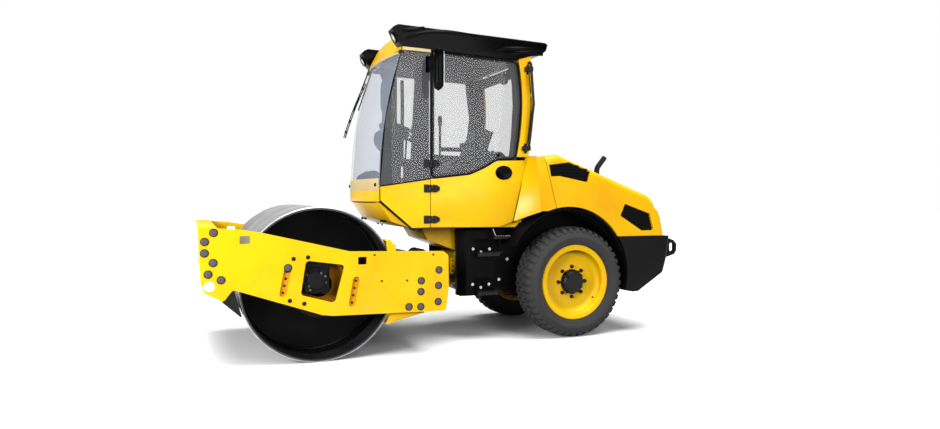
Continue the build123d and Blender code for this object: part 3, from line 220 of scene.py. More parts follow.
@dataclass(frozen=True)
class Finish:
    """A coated or moulded surface: fine bump, blotchy roughness, and blotches of a second colour, which are
    a random tone on most finishes and a painted reflection on the yellow enamels; enamel adds a film of
    dust.

    Lengths are in millimetres. A grain under about two millimetres is drawn a little coarser
    than the real one, so that it still shows at this size.
    """

    name: str
    colour: str
    shade: str
    roughness: float = 0.4
    spread: float = 0.08
    metallic: float = 0.0
    ior: float = 1.5
    coat: float = 0.0
    coat_roughness: float = 0.05
    grain_mm: float = 3.0
    grain_depth: float = 0.02
    blotch_mm: float = 350.0
    sheen: float = 0.0
    specular: float = 0.5

    def make(self) -> bpy.types.Material:
        """Build the material, or return it if it was built before."""
        found = bpy.data.materials.get(self.name)
        if found:
            return found
        material = bpy.data.materials.new(self.name)
        material.use_nodes = True
        tree = material.node_tree
        tree.nodes.clear()
        place = add_node(tree, "ShaderNodeTexCoord").outputs["Object"]
        blotch = add_node(tree, "ShaderNodeTexNoise", {"Scale": 1000 / self.blotch_mm, "Detail": 4.0,
            "Roughness": 0.55}, {"Vector": place})
        grain = add_node(tree, "ShaderNodeTexNoise", {"Scale": 1000 / self.grain_mm, "Detail": 2.0},
            {"Vector": place})
        tint = add_node(tree, "ShaderNodeMix", {"data_type": "RGBA", 6: linear(self.shade),
            7: linear(self.colour)}, {0: self.contrast(tree, blotch.outputs[0], 0.3, 0.62)})
        rough = add_node(tree, "ShaderNodeMapRange", {"From Min": 0.3, "From Max": 0.7,
            "To Min": max(0.02, self.roughness - self.spread),
            "To Max": min(1.0, self.roughness + self.spread)}, {"Value": blotch.outputs[0]})
        bump = add_node(tree, "ShaderNodeBump", {"Strength": self.grain_depth, "Distance": 0.002},
            {"Height": self.relief(tree, place, grain.outputs[0])})
        shader = add_node(tree, "ShaderNodeBsdfPrincipled", {"Metallic": self.metallic, "IOR": self.ior,
            "Coat Weight": self.coat, "Coat Roughness": self.coat_roughness, "Sheen Weight": self.sheen,
            "Specular IOR Level": self.specular}, {"Base Color": tint.outputs[2],
            "Roughness": rough.outputs[0], "Normal": bump.outputs[0]})
        out = add_node(tree, "ShaderNodeOutputMaterial")
        tree.links.new(shader.outputs[0], out.inputs[0])
        self.refine(tree, shader, place)
        return material

    @staticmethod
    def contrast(tree: Tree, socket: Any, low: float, high: float) -> Any:
        """Stretch a value so that low becomes nought and high becomes one."""
        return add_node(tree, "ShaderNodeMapRange", {"From Min": low, "From Max": high},
            {"Value": socket}).outputs[0]

    def relief(self, tree: Tree, place: Any, grain: Any) -> Any:
        """The height that the bump follows: here the fine grain alone."""
        return grain

    def refine(self, tree: Tree, shader: Node, place: Any) -> None:
        """Room for a finish of its own kind to add to the tree."""


@dataclass(frozen=True)
class Enamel(Finish):
    """Gloss paint over steel, with a film of dust low on the machine."""

    dust: str = "#C9B48A"
    dust_top: float = 0.75
    dust_share: float = 0.1

    def refine(self, tree: Tree, shader: Node, place: Any) -> None:
        """Lay a thin, patchy film of dust that fades out with height."""
        split = add_node(tree, "ShaderNodeSeparateXYZ", {}, {0: place})
        fade = add_node(tree, "ShaderNodeMapRange", {"From Min": self.dust_top, "From Max": 0.1,
            "To Max": self.dust_share}, {"Value": split.outputs[2]})
        patches = add_node(tree, "ShaderNodeTexNoise", {"Scale": 1000 / 120, "Detail": 5.0},
            {"Vector": place})
        share = maths(tree, "MULTIPLY", fade.outputs[0],
            self.contrast(tree, patches.outputs[0], 0.45, 0.65))
        base = shader.inputs["Base Color"].links[0].from_socket
        mix = add_node(tree, "ShaderNodeMix", {"data_type": "RGBA", 7: linear(self.dust)},
            {0: share, 6: base})
        tree.links.new(mix.outputs[2], shader.inputs["Base Color"])


@dataclass(frozen=True)
class Turned(Finish):
    """Steel rolled or turned about a sideways axis, with fine rings and scuffs round it."""

    ring_mm: float = 9.0

    def relief(self, tree: Tree, place: Any, grain: Any) -> Any:
        """Fine rings side by side along the axis, broken by the grain."""
        stretch = add_node(tree, "ShaderNodeMapping", {"Scale": (4.0, 1000 / self.ring_mm, 4.0)},
            {"Vector": place})
        rings = add_node(tree, "ShaderNodeTexNoise", {"Scale": 1.0, "Detail": 3.0},
            {"Vector": stretch.outputs[0]})
        return maths(tree, "ADD", rings.outputs[0], grain)


@dataclass(frozen=True)
class Pane(Finish):
    """Flat or bowed safety glass with a body tint; the share of its pale base colour that shows is also a
    painted veil of reflected light.
    """

    alpha: float = 0.3

    def refine(self, tree: Tree, shader: Node, place: Any) -> None:
        """Let light through: most of a pane is clear, and its reflections stay."""
        shader.inputs["Alpha"].default_value = self.alpha


@dataclass(frozen=True)
class Weave(Finish):
    """Woven cloth: two crossed sets of threads."""

    thread_mm: float = 4.0

    def relief(self, tree: Tree, place: Any, grain: Any) -> Any:
        """Crossed waves for warp and weft, with the grain for loose fibre."""
        waves = [add_node(tree, "ShaderNodeTexWave",
            {"bands_direction": way, "Scale": 1000 / self.thread_mm / 20, "Distortion": 0.4},
            {"Vector": place}).outputs[1] for way in ("X", "Y")]
        return maths(tree, "ADD", maths(tree, "MULTIPLY", *waves), grain)


# Two-pack enamel on steel plate: deep gloss with a slight orange peel; its blotches of lighter and darker
# yellow are a painted reflection.
YELLOW = Enamel("yellow_enamel", "#FFCB06", "#FABB04", roughness=0.33, spread=0.05, coat=0.06,
    specular=0.15, grain_mm=6, grain_depth=0.012)
# The same enamel deep in a recess: its brown is painted shade, and it is rougher.
RECESS_SHADE = Finish("recess_enamel", "#A9690A", "#8E5606", roughness=0.6, spread=0.1, grain_mm=6,
    grain_depth=0.05, specular=0.1, blotch_mm=160)
# The enamel inside the slots and pockets of the plates, in their shade.
POCKET = Finish("pocket_enamel", "#F2A006", "#E69406", roughness=0.5, spread=0.06, grain_mm=6,
    grain_depth=0.05, specular=0.15)
# The same colour moulded into glass-fibre body panels, a shade smoother; its blotches too are a painted
# reflection.
YELLOW_SHELL = Enamel("yellow_gel_coat", "#FFC306", "#FAB604", roughness=0.3, spread=0.04, coat=0.06,
    specular=0.15, grain_mm=12, grain_depth=0.008)
# The cream stone-chip strip under the windscreen and over it.
CREAM = Finish("cream_trim", "#DCC48E", "#D2B87E", roughness=0.5, grain_mm=3, grain_depth=0.06)
# Satin enamel: chassis parts are dipped black, and a matt film traps most of the light.
BLACK = Finish("black_satin_enamel", "#0A0A0B", "#070708", roughness=0.44, spread=0.08, grain_mm=5,
    grain_depth=0.03, specular=0.2)
# Grained polypropylene mouldings.
BLACK_PLASTIC = Finish("black_textured_plastic", "#080809", "#050506", roughness=0.55, spread=0.08,
    grain_mm=2.5, grain_depth=0.12, specular=0.06)
# Lacquered ABS: mirror shells and lamp bezels.
BLACK_GLOSS = Finish("black_gloss_plastic", "#030304", "#020203", roughness=0.22, spread=0.04,
    specular=0.05, coat=0.0, grain_mm=8, grain_depth=0.01)
# Dark inside of the drum and of the inlets, where dust dulls the paint.
BLACK_DULL = Finish("dull_black_enamel", "#08080A", "#050506", roughness=0.7, spread=0.1, grain_mm=6,
    grain_depth=0.08, specular=0.15)
# Brushed enamel inside the drum, shiny where it is wiped by the soil.
DRUM_PAINT = Finish("drum_inside_enamel", "#0A0A0B", "#060607", roughness=0.26, spread=0.08, grain_mm=8,
    grain_depth=0.05, specular=0.5)
# The drum's mouth: a grey metallic band that is a painted sheen of light on the inside of the shell.
MOUTH_SHEEN = Finish("worn_drum_mouth", "#3C3C3F", "#2C2C2F", roughness=0.32, spread=0.15, metallic=0.6,
    grain_mm=10, grain_depth=0.05, blotch_mm=260)
# Sand-cast ballast, painted thick.
CAST_BLACK = Finish("painted_casting", "#0A0A0B", "#070708", roughness=0.5, spread=0.1, grain_mm=4,
    grain_depth=0.2, specular=0.1)
# Dark slate caps of the frame's plugs: turned steel with a phosphate finish.
SLATE = Finish("phosphated_steel", "#4C4C50", "#3C3C40", roughness=0.5, metallic=0.3, grain_mm=2.5,
    grain_depth=0.08)
# Rolled drum shell, ground bright at its working face by use.
STEEL = Turned("rolled_steel", "#C2C2C2", "#A8A8AA", roughness=0.48, spread=0.05, metallic=0.85,
    grain_mm=2.5, grain_depth=0.06, blotch_mm=180)
# Hard chrome on rods and mirror-bright edges.
CHROME = Finish("hard_chrome", "#D8D8DA", "#C9C9CC", roughness=0.1, spread=0.03, metallic=1.0)
# Zinc-plated bolts and hose ends.
ZINC = Finish("zinc_plate", "#B9B9B4", "#A2A29C", roughness=0.34, metallic=1.0, grain_mm=2.0,
    grain_depth=0.05)
# Cast aluminium with a sandy skin.
ALLOY = Finish("cast_alloy", "#6A6A6C", "#5A5A5C", roughness=0.5, metallic=0.6, grain_depth=0.2)
# Carbon-filled rubber with a bloom of dust in its grain.
RUBBER = Finish("tyre_rubber", "#070708", "#050505", roughness=0.55, spread=0.1, grain_mm=3,
    grain_depth=0.15, blotch_mm=90, specular=0.08)
# Hydraulic hose: smooth synthetic rubber cover.
HOSE = Finish("hose_rubber", "#101011", "#0A0A0B", roughness=0.5, grain_mm=2, grain_depth=0.1)
# Woven seat cloth, charcoal.
FABRIC = Weave("seat_cloth", "#2A2A2D", "#202023", roughness=0.85, spread=0.05, grain_mm=3, grain_depth=0.4,
    sheen=0.4)
# Charcoal vinyl over foam: the lining of the cab.
TRIM = Finish("warm_grey_trim", "#1E1E20", "#18181A", roughness=0.6, grain_mm=3, grain_depth=0.15)
# Pale grey moulded covers of the pillars.
PALE_TRIM = Finish("pale_pillar_trim", "#8E8E92", "#808084", roughness=0.6, grain_mm=3, grain_depth=0.12)
# Clear polycarbonate of the lamps.
LENS = Finish("lamp_lens", "#E9ECF2", "#D6DAE2", roughness=0.1, spread=0.03, coat=0.5)
# Dyed acrylic of the tail lamps, red and amber.
RED_LENS = Finish("red_lamp_lens", "#8E0F0F", "#7A0B0B", roughness=0.12, spread=0.03, coat=0.5)
AMBER_LENS = Finish("amber_lamp_lens", "#C96A0A", "#B85E06", roughness=0.12, spread=0.03, coat=0.5)
# Laminated windscreen: a pale painted veil of reflected light, with sharp reflections.
SCREEN = Pane("clear_screen_glass", "#D2DCF0", "#CCD6EA", roughness=0.04, spread=0.02, alpha=0.2,
    grain_depth=0.0)
# Toughened glass at the far side and the rear, hardly tinted, with a faint painted veil of reflected light.
CLEAR = Pane("far_side_glass", "#A4A5A8", "#9C9D9F", roughness=0.04, spread=0.02, alpha=0.07,
    grain_depth=0.0)
# Toughened glass with a grey body tint, which also lays a painted veil of reflected light over what lies
# behind.
TINTED = Pane("grey_tinted_glass", "#8A8B8E", "#858689", roughness=0.04, spread=0.02, alpha=0.2,
    grain_depth=0.0)
# Silvered face of the mirrors.
SILVER = Finish("mirror_silver", "#E8EAEE", "#DFE2E8", roughness=0.05, spread=0.01, metallic=1.0,
    grain_depth=0.0)

CAD_FINISHES: dict[str, Finish] = {"side_plates": YELLOW, "front_crossmember": YELLOW,
    "rear_crossmember": YELLOW, "drum_carriers": BLACK_DULL, "drum_motors": BLACK, "front_scraper": BLACK,
    "rear_scrapers": YELLOW, "drum_shell": STEEL, "drum_heads": BLACK_DULL, "articulation_yoke": YELLOW,
    "steering_barrel": BLACK, "steering_rod": CHROME, "rear_frame": YELLOW, "rear_axle": BLACK,
    "engine_block": ALLOY, "side_tanks": BLACK_PLASTIC, "cab_steps": BLACK, "rear_cowl": YELLOW_SHELL,
    "arch_liners": BLACK_PLASTIC, "counterweight": CAST_BLACK, "hood": YELLOW_SHELL,
    "hood_grilles": BLACK_DULL, "exhaust_pipe": BLACK, "cab_floor": YELLOW, "cab_nose": YELLOW,
    "cab_side_panels": YELLOW, "front_posts": BLACK, "rear_posts": YELLOW, "windshield": SCREEN,
    "quarter_glass": TINTED, "rear_wall": TRIM, "rear_window": CLEAR, "roof": BLACK_GLOSS,
    "roof_header": YELLOW_SHELL, "work_lights": LENS, "mirrors": BLACK_GLOSS, "seat": FABRIC,
    "steering_console": TRIM, "grab_handles": BLACK, "door_panel_left": YELLOW, "door_panel_right": YELLOW,
    "door_glass_left": TINTED, "door_glass_right": CLEAR, "door_frame_left": BLACK,
    "door_frame_right": BLACK, "tyre_left": RUBBER, "tyre_right": RUBBER, "rim_left": YELLOW,
    "rim_right": YELLOW, "hub_left": BLACK, "hub_right": BLACK}


def dress_cad_nodes() -> None:
    """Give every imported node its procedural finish."""
    for name, node in frame["nodes"].items():
        finish = CAD_FINISHES[name].make()
        for slot in node.material_slots:
            slot.material = finish


# --------------------------------------------------------------------- mesh tools
def placed(name: str, data: Any) -> Item:
    """A new object that holds the data, linked to the scene."""
    item = bpy.data.objects.new(name, data)
    bpy.context.collection.objects.link(item)
    return item


def evaluated(item: Item) -> Mesh:
    """A new mesh of the item as its modifiers leave it."""
    graph = bpy.context.evaluated_depsgraph_get()
    return bpy.data.meshes.new_from_object(item.evaluated_get(graph))


def discard(*items: Item) -> None:
    """Delete helper objects and their meshes."""
    for item in items:
        mesh = item.data
        bpy.data.objects.remove(item)
        bpy.data.meshes.remove(mesh)


def frozen(part: bmesh.types.BMesh) -> Mesh:
    """The part as a mesh; the part itself is freed."""
    mesh = bpy.data.meshes.new("part")
    part.to_mesh(mesh)
    part.free()
    return mesh


def rounded_off(part: bmesh.types.BMesh, width: float, segments: int) -> None:
    """Round the part's sharp edges.

    Args:
        part: the part.
        width: how far each rounding reaches along its faces.
        segments: facets across each rounding.
    """
    edges = [edge for edge in part.edges if len(edge.link_faces) == 2 and edge.calc_face_angle(0.0) > SHARP]
    bmesh.ops.bevel(part, geom=edges, offset=width, segments=segments, profile=ROUND, affect="EDGES",
        clamp_overlap=True)


def mirror(part: bmesh.types.BMesh) -> None:
    """Make the part its own mirror image, on the machine's other side."""
    for vertex in part.verts:
        vertex.co.y = -vertex.co.y
    bmesh.ops.reverse_faces(part, faces=part.faces)


def skin(part: bmesh.types.BMesh, rings: Sequence[Sequence[Any]], closed: bool = False) -> None:
    """Join rings of vertices with faces, one ring to the next.

    Args:
        part: the bmesh that holds the vertices.
        rings: the rings, each with as many vertices; a pole repeats its one vertex.
        closed: whether the last ring joins the first.
    """
    pairs = list(zip(rings, rings[1:]))
    if closed:
        pairs.append((rings[-1], rings[0]))
    for near, far in pairs:
        for i, j in zip(range(len(near)), [*range(1, len(near)), 0]):
            loop = list(dict.fromkeys((near[i], near[j], far[j], far[i])))
            if len(loop) > 2:
                part.faces.new(loop)


def close_ends(part: bmesh.types.BMesh, rings: Sequence[Sequence[Any]]) -> None:
    """Close the first and the last ring with a face each."""
    part.faces.new(rings[0])
    part.faces.new(list(reversed(rings[-1])))


def rect(left: float, low: float, right: float, high: float) -> list[Flat]:
    """The four corners of a rectangle, or half the section of a turned disc."""
    return [(left, low), (right, low), (right, high), (left, high)]


def circle(radius: float, count: int) -> list[Flat]:
    """Points evenly round a circle about nought."""
    return [(radius * math.cos(math.tau * i / count), radius * math.sin(math.tau * i / count))
        for i in range(count)]


class Shape:
    """A mesh under construction in the frame's own coordinates, which ends as one plain piece."""

    def __init__(self) -> None:
        """Start empty."""
        self.bm = bmesh.new()

    def add(self, mesh: Mesh) -> "Shape":
        """Take in a finished mesh and delete it."""
        self.bm.from_mesh(mesh)
        bpy.data.meshes.remove(mesh)
        return self

    def merge(self, part: bmesh.types.BMesh, bevel: float = 0.0, segments: int = 2) -> "Shape":
        """Take in a part, its sharp edges rounded first.

        Args:
            part: the part's own bmesh, which is freed.
            bevel: how far the rounding reaches along each face.
            segments: facets across the rounding.

        Returns:
            This shape, so that calls can follow one another.
        """
        bmesh.ops.recalc_face_normals(part, faces=part.faces)
        if bevel:
            rounded_off(part, bevel, segments)
        return self.add(frozen(part))

    def prism(self, outline: Sequence[Flat], start: float, end: float, bevel: float = 0.0,
            along: Along = Along.Y, segments: int = 2) -> "Shape":
        """Draw a flat outline out along an axis, from start to end."""
        part = bmesh.new()
        rings = [[part.verts.new(along.place(u, v, out)) for u, v in outline] for out in (start, end)]
        close_ends(part, rings)
        skin(part, rings)
        return self.merge(part, bevel, segments)

    def box(self, low: Point, high: Point, bevel: float = 0.003, segments: int = 2) -> "Shape":
        """A rounded box between two corners."""
        outline = rect(low[0], low[2], high[0], high[2])
        return self.prism(outline, low[1], high[1], bevel, segments=segments)

    def lathe(self, profile: Sequence[Flat], centre: Point, along: Along = Along.Y, count: int = 48,
            closed: bool = True) -> "Shape":
        """Turn a profile of (radius, distance along the axis) points round an axis.

        Args:
            profile: the points, in order; a radius of nought is a pole.
            centre: a point on the axis, that distances are measured from.
            along: the axis.
            count: facets round the axis.
            closed: whether the last point joins the first.

        Returns:
            This shape.
        """
        part = bmesh.new()
        rings = []
        for radius, out in profile:
            if radius:
                rings.append([part.verts.new(along.place(u, v, out)) for u, v in circle(radius, count)])
            else:
                rings.append([part.verts.new(along.place(0.0, 0.0, out))] * count)
        skin(part, rings, closed and bool(profile[0][0] and profile[-1][0]))
        bmesh.ops.translate(part, vec=Vector(centre), verts=part.verts)
        return self.merge(part)

    def sweep(self, path: Sequence[Point], section: Sequence[Flat], closed: bool = False,
            hold: Optional[Point] = None) -> "Shape":
        """Carry a closed section along a path.

        Args:
            path: the points of the path.
            section: outline points, first to the side and second along the held direction.
            closed: whether the path is a loop.
            hold: the direction that the section's second axis keeps to; upright if left out.

        Returns:
            This shape.
        """
        points = [Vector(p) for p in path]
        part = bmesh.new()
        rings = []
        up = Vector(hold or (0.0, 0.0, 1.0))
        last = len(points) - 1
        for i, point in enumerate(points):
            before = points[i - 1] if (i or closed) else point
            after = points[(i + 1) % len(points)] if (i < last or closed) else point
            way = (after - before).normalized()
            side = way.cross(up)
            if side.length < 0.05:
                side = way.cross(Vector((1.0, 0.0, 0.0)))
            side.normalize()
            lift = side.cross(way).normalized()
            stretch = 1.0
            if before != point and after != point:
                turn = (point - before).normalized().dot((after - point).normalized())
                stretch = min(1.6, 1 / math.sqrt(max(0.2, (1 + turn) / 2)))
            rings.append([part.verts.new(point + side * (u * stretch) + lift * v) for u, v in section])
        skin(part, rings, closed)
        if not closed:
            close_ends(part, rings)
        return self.merge(part)

    def tube(self, path: Sequence[Point], radius: float, count: int = 12, closed: bool = False,
            hold: Optional[Point] = None) -> "Shape":
        """A round bar or hose along a path."""
        return self.sweep(path, circle(radius, count), closed, hold)

    def moved(self, shift: Point) -> "Shape":
        """Move all that has been added so far."""
        bmesh.ops.translate(self.bm, vec=Vector(shift), verts=self.bm.verts)
        return self

    def turned(self, degrees: float, axis: str, about: Point = ORIGIN) -> "Shape":
        """Turn all that has been added so far about an axis through a point."""
        bmesh.ops.rotate(self.bm, cent=Vector(about), verts=self.bm.verts,
            matrix=Matrix.Rotation(math.radians(degrees), 3, axis))
        return self

    def both(self) -> "Shape":
        """Add the mirror image of all that has been added so far."""
        copy = self.bm.copy()
        mirror(copy)
        return self.add(frozen(copy))

    def on(self, side: Side) -> "Shape":
        """This shape as drawn for the left, or its mirror image for the right."""
        if side is Side.RIGHT:
            mirror(self.bm)
        return self

    def mesh(self) -> Mesh:
        """The shape as a mesh, smooth except across sharp edges and on broad flats."""
        for face in self.bm.faces:
            face.smooth = not self.is_flat(face)
        for edge in self.bm.edges:
            edge.smooth = not (len(edge.link_faces) == 2 and edge.calc_face_angle(0.0) > SHARP)
        mesh = bpy.data.meshes.new("shape")
        self.bm.to_mesh(mesh)
        self.bm.free()
        return mesh

    @staticmethod
    def is_flat(face: bmesh.types.BMFace) -> bool:
        """Whether a face is a broad flat, which none of its neighbours curves on from."""
        longest = max(edge.calc_length() for edge in face.edges)
        if face.calc_area() < BROAD * longest:
            return False
        bends = [edge.calc_face_angle(0.0) for edge in face.edges if len(edge.link_faces) == 2]
        return not any(LEVEL < bend < CURVED for bend in bends)

    def piece(self, name: str, finish: Finish, body: Body, slot: str, replaces: Iterable[str] = ()) -> Item:
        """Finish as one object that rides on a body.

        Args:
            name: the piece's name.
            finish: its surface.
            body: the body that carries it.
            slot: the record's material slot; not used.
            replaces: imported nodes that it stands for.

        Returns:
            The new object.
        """
        return finished(self.mesh(), name, finish, body, replaces)


def finished(mesh: Mesh, name: str, finish: Finish, body: Body,
        replaces: Iterable[str] = ()) -> Item:
    """Make a mesh a dressed piece that rides on a body."""
    mesh.name = name
    mesh.materials.clear()
    mesh.materials.append(finish.make())
    piece = placed(name, mesh)
    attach(piece, body.value)
    nodes = list(replaces)
    if nodes:
        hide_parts(*nodes)
    return piece


def softened(node: str, width: float = 0.003, segments: int = 2) -> Shape:
    """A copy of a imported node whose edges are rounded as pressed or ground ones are.

    Args:
        node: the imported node.
        width: how far each rounding reaches.
        segments: facets across each rounding.

    Returns:
        The copy as a shape.
    """
    part = bmesh.new()
    part.from_mesh(frame["nodes"][node].data)
    bmesh.ops.remove_doubles(part, verts=part.verts, dist=1e-5)
    bmesh.ops.dissolve_limit(part, angle_limit=math.radians(0.6), verts=part.verts, edges=part.edges,
        use_dissolve_boundaries=False)
    rounded_off(part, width, segments)
    return Shape().add(frozen(part))


def arc(centre: Flat, radius: float, start_deg: float, end_deg: float, steps: int = 12) -> list[Flat]:
    """Points along an arc."""
    angles = [math.radians(start_deg + (end_deg - start_deg) * i / steps) for i in range(steps + 1)]
    return [(centre[0] + radius * math.cos(a), centre[1] + radius * math.sin(a)) for a in angles]


def oblong(centre: Flat, half_long: float, half_wide: float, lean_deg: float = 0.0,
        steps: int = 8) -> list[Flat]:
    """Outline of a slot with round ends, leaning from upright."""
    cap = half_long - half_wide
    points = arc((0.0, cap), half_wide, 0, 180, steps) + arc((0.0, -cap), half_wide, 180, 360, steps)
    lean = math.radians(lean_deg)
    return [(centre[0] + u * math.cos(lean) + v * math.sin(lean),
        centre[1] - u * math.sin(lean) + v * math.cos(lean)) for u, v in points]


def rounded(outline: Sequence[Flat], radius: float, steps: int = 4) -> list[Flat]:
    """The same outline with its corners rounded."""
    points: list[Flat] = []
    count = len(outline)
    for i, corner in enumerate(outline):
        here = Vector(corner)
        before = (Vector(outline[i - 1]) - here)
        after = (Vector(outline[(i + 1) % count]) - here)
        reach = min(radius, before.length * 0.45, after.length * 0.45)
        start = here + before.normalized() * reach
        end = here + after.normalized() * reach
        for k in range(steps + 1):
            t = k / steps
            points.append(tuple(start * (1 - t) ** 2 + here * (2 * t * (1 - t)) + end * t ** 2))
    return points


def curved(points: Sequence[Point], steps: int = 6, closed: bool = False) -> list[Point]:
    """A smooth line through points."""
    spots = [Vector(p) for p in points]
    count = len(spots)
    line: list[Point] = []
    spans = count if closed else count - 1
    for i in range(spans):
        p1, p2 = spots[i], spots[(i + 1) % count]
        p0 = spots[i - 1] if (i or closed) else p1
        p3 = spots[(i + 2) % count] if (i + 2 < count or closed) else p2
        for k in range(steps):
            t = k / steps
            line.append(tuple(0.5 * (2 * p1 + (p2 - p0) * t + (2 * p0 - 5 * p1 + 4 * p2 - p3) * t ** 2
                + (3 * p1 - p0 - 3 * p2 + p3) * t ** 3)))
    if not closed:
        line.append(tuple(spots[-1]))
    return line


def with_holes(mesh: Mesh, cutter: Mesh) -> Mesh:
    """Cut one mesh out of another.

    Args:
        mesh: the mesh to cut.
        cutter: what is taken away.

    Returns:
        The cut mesh; the two given are deleted.
    """
    host = placed("cut_host", mesh)
    tool = placed("cut_tool", cutter)
    cut = host.modifiers.new("cut", "BOOLEAN")
    cut.operation, cut.solver, cut.object = "DIFFERENCE", "EXACT", tool
    result = evaluated(host)
    discard(host, tool)
    return result


# ----------------------------------------------------------------- geometry nodes
class Layout:
    """A geometry node tree that sets out copies of one part and makes them one mesh.

    Each kind of layout names its own sizes. The tree is built once and kept by name.
    """

    NAME = "layout"
    SIZES: dict[str, str] = {}

    def __init__(self) -> None:
        """Build the tree, with the sockets that every layout has and the kind's own."""
        self.tree = bpy.data.node_groups.new(self.NAME, "GeometryNodeTree")
        sockets = {"Host": "NodeSocketGeometry", "Part": "NodeSocketObject", "Finish": "NodeSocketMaterial",
            **self.SIZES}
        self.ids = {name: self.tree.interface.new_socket(name=name, in_out="INPUT",
            socket_type=kind).identifier for name, kind in sockets.items()}
        self.tree.interface.new_socket(name="Geometry", in_out="OUTPUT", socket_type="NodeSocketGeometry")
        entry = add_node(self.tree, "NodeGroupInput")
        points, turn = self.set_out(entry)
        part = add_node(self.tree, "GeometryNodeObjectInfo", {}, {"Object": entry.outputs["Part"]})
        copies = add_node(self.tree, "GeometryNodeInstanceOnPoints", {},
            {"Points": points, "Instance": part.outputs["Geometry"], "Rotation": turn})
        real = add_node(self.tree, "GeometryNodeRealizeInstances", {},
            {"Geometry": self.place(entry, copies.outputs[0])})
        dressed = add_node(self.tree, "GeometryNodeSetMaterial", {}, {"Geometry": real.outputs[0],
            "Material": entry.outputs["Finish"]})
        out = add_node(self.tree, "NodeGroupOutput")
        self.tree.links.new(dressed.outputs[0], out.inputs[0])

    def set_out(self, entry: Node) -> tuple[Any, Any]:
        """The points that copies stand on, and the turn of each copy."""
        raise NotImplementedError

    def place(self, entry: Node, copies: Any) -> Any:
        """Where the whole set goes: as it is, unless a kind of layout moves it."""
        return copies

    def mesh(self, part: Shape, finish: Finish, host: Optional[Mesh] = None, **sizes: Any) -> Mesh:
        """Set out a part.

        Args:
            part: the shape that repeats.
            finish: its surface.
            host: a mesh whose vertices the layout may stand copies on.
            sizes: the layout's own inputs, by name.

        Returns:
            One plain mesh of all the copies.
        """
        pattern = placed("pattern", part.mesh())
        carrier = placed("carrier", host or bpy.data.meshes.new("empty"))
        modifier = carrier.modifiers.new("layout", "NODES")
        modifier.node_group = self.tree
        for name, value in {"Part": pattern, "Finish": finish.make(), **sizes}.items():
            modifier[self.ids[name]] = value
        result = evaluated(carrier)
        discard(carrier, pattern)
        return result

    def euler(self, socket: Any) -> Any:
        """A rotation from an Euler vector in radians."""
        return add_node(self.tree, "FunctionNodeEulerToRotation", {}, {"Euler": socket}).outputs[0]

    def vector(self, links: dict[int, Any]) -> Any:
        """A vector from some of its three parts."""
        return add_node(self.tree, "ShaderNodeCombineXYZ", {}, links).outputs[0]


class Ring(Layout):
    """Copies round a circle, each turned to face outward, and the circle turned and placed."""

    NAME = "ring_of_parts"
    SIZES = {"Count": "NodeSocketInt", "Radius": "NodeSocketFloat", "Start": "NodeSocketFloat",
        "Turn": "NodeSocketVector", "Centre": "NodeSocketVector"}

    def set_out(self, entry: Node) -> tuple[Any, Any]:
        """Points evenly round a circle, each copy turned by its place on it."""
        tree = self.tree
        index = add_node(tree, "GeometryNodeInputIndex").outputs[0]
        step = maths(tree, "DIVIDE", math.tau, entry.outputs["Count"])
        start = maths(tree, "ADD", maths(tree, "MULTIPLY", index, step), entry.outputs["Start"])
        line = add_node(tree, "GeometryNodeMeshLine", {"mode": "OFFSET", "Offset": ORIGIN},
            {"Count": entry.outputs["Count"]})
        spot = self.vector({0: maths(tree, "COSINE", start), 1: maths(tree, "SINE", start)})
        reach = add_node(tree, "ShaderNodeVectorMath", {"operation": "SCALE"},
            {0: spot, "Scale": entry.outputs["Radius"]})
        round_it = add_node(tree, "GeometryNodeSetPosition", {}, {"Geometry": line.outputs[0],
            "Position": reach.outputs[0]})
        return round_it.outputs[0], self.euler(self.vector({2: start}))

    def place(self, entry: Node, copies: Any) -> Any:
        """Turn the circle's axis and move its centre."""
        moved = add_node(self.tree, "GeometryNodeTransform", {},
            {"Geometry": copies, "Rotation": self.euler(entry.outputs["Turn"]),
            "Translation": entry.outputs["Centre"]})
        return moved.outputs[0]


class Row(Layout):
    """Copies in a straight row."""

    NAME = "row_of_parts"
    SIZES = {"Count": "NodeSocketInt", "Step": "NodeSocketVector", "Start": "NodeSocketVector",
        "Turn": "NodeSocketVector"}

    def set_out(self, entry: Node) -> tuple[Any, Any]:
        """Points a step apart, each copy turned alike."""
        line = add_node(self.tree, "GeometryNodeMeshLine", {"mode": "OFFSET"},
            {"Count": entry.outputs["Count"], "Start Location": entry.outputs["Start"],
            "Offset": entry.outputs["Step"]})
        return line.outputs[0], self.euler(entry.outputs["Turn"])


class Spots(Layout):
    """Copies on a host mesh's vertices, each spun about its own Y by a seeded random angle."""

    NAME = "parts_on_points"
    SIZES = {"Turn": "NodeSocketVector", "Spin": "NodeSocketFloat", "Seed": "NodeSocketInt"}

    def set_out(self, entry: Node) -> tuple[Any, Any]:
        """The host's vertices, and a turn with a spin inside it."""
        spin = add_node(self.tree, "FunctionNodeRandomValue", {"data_type": "FLOAT"},
            {"Seed": entry.outputs["Seed"]})
        self.tree.links.new(entry.outputs["Spin"], spin.inputs[3])
        about = self.vector({1: spin.outputs[1]})
        turn = add_node(self.tree, "FunctionNodeRotateRotation", {"rotation_space": "LOCAL"},
            {0: self.euler(entry.outputs["Turn"]), 1: self.euler(about)})
        return entry.outputs["Host"], turn.outputs[0]


LAYOUTS: dict[type, Layout] = {}


def layout(kind: type) -> Layout:
    """The tree of a kind, built when it is first asked for."""
    if kind not in LAYOUTS:
        LAYOUTS[kind] = kind()
    return LAYOUTS[kind]


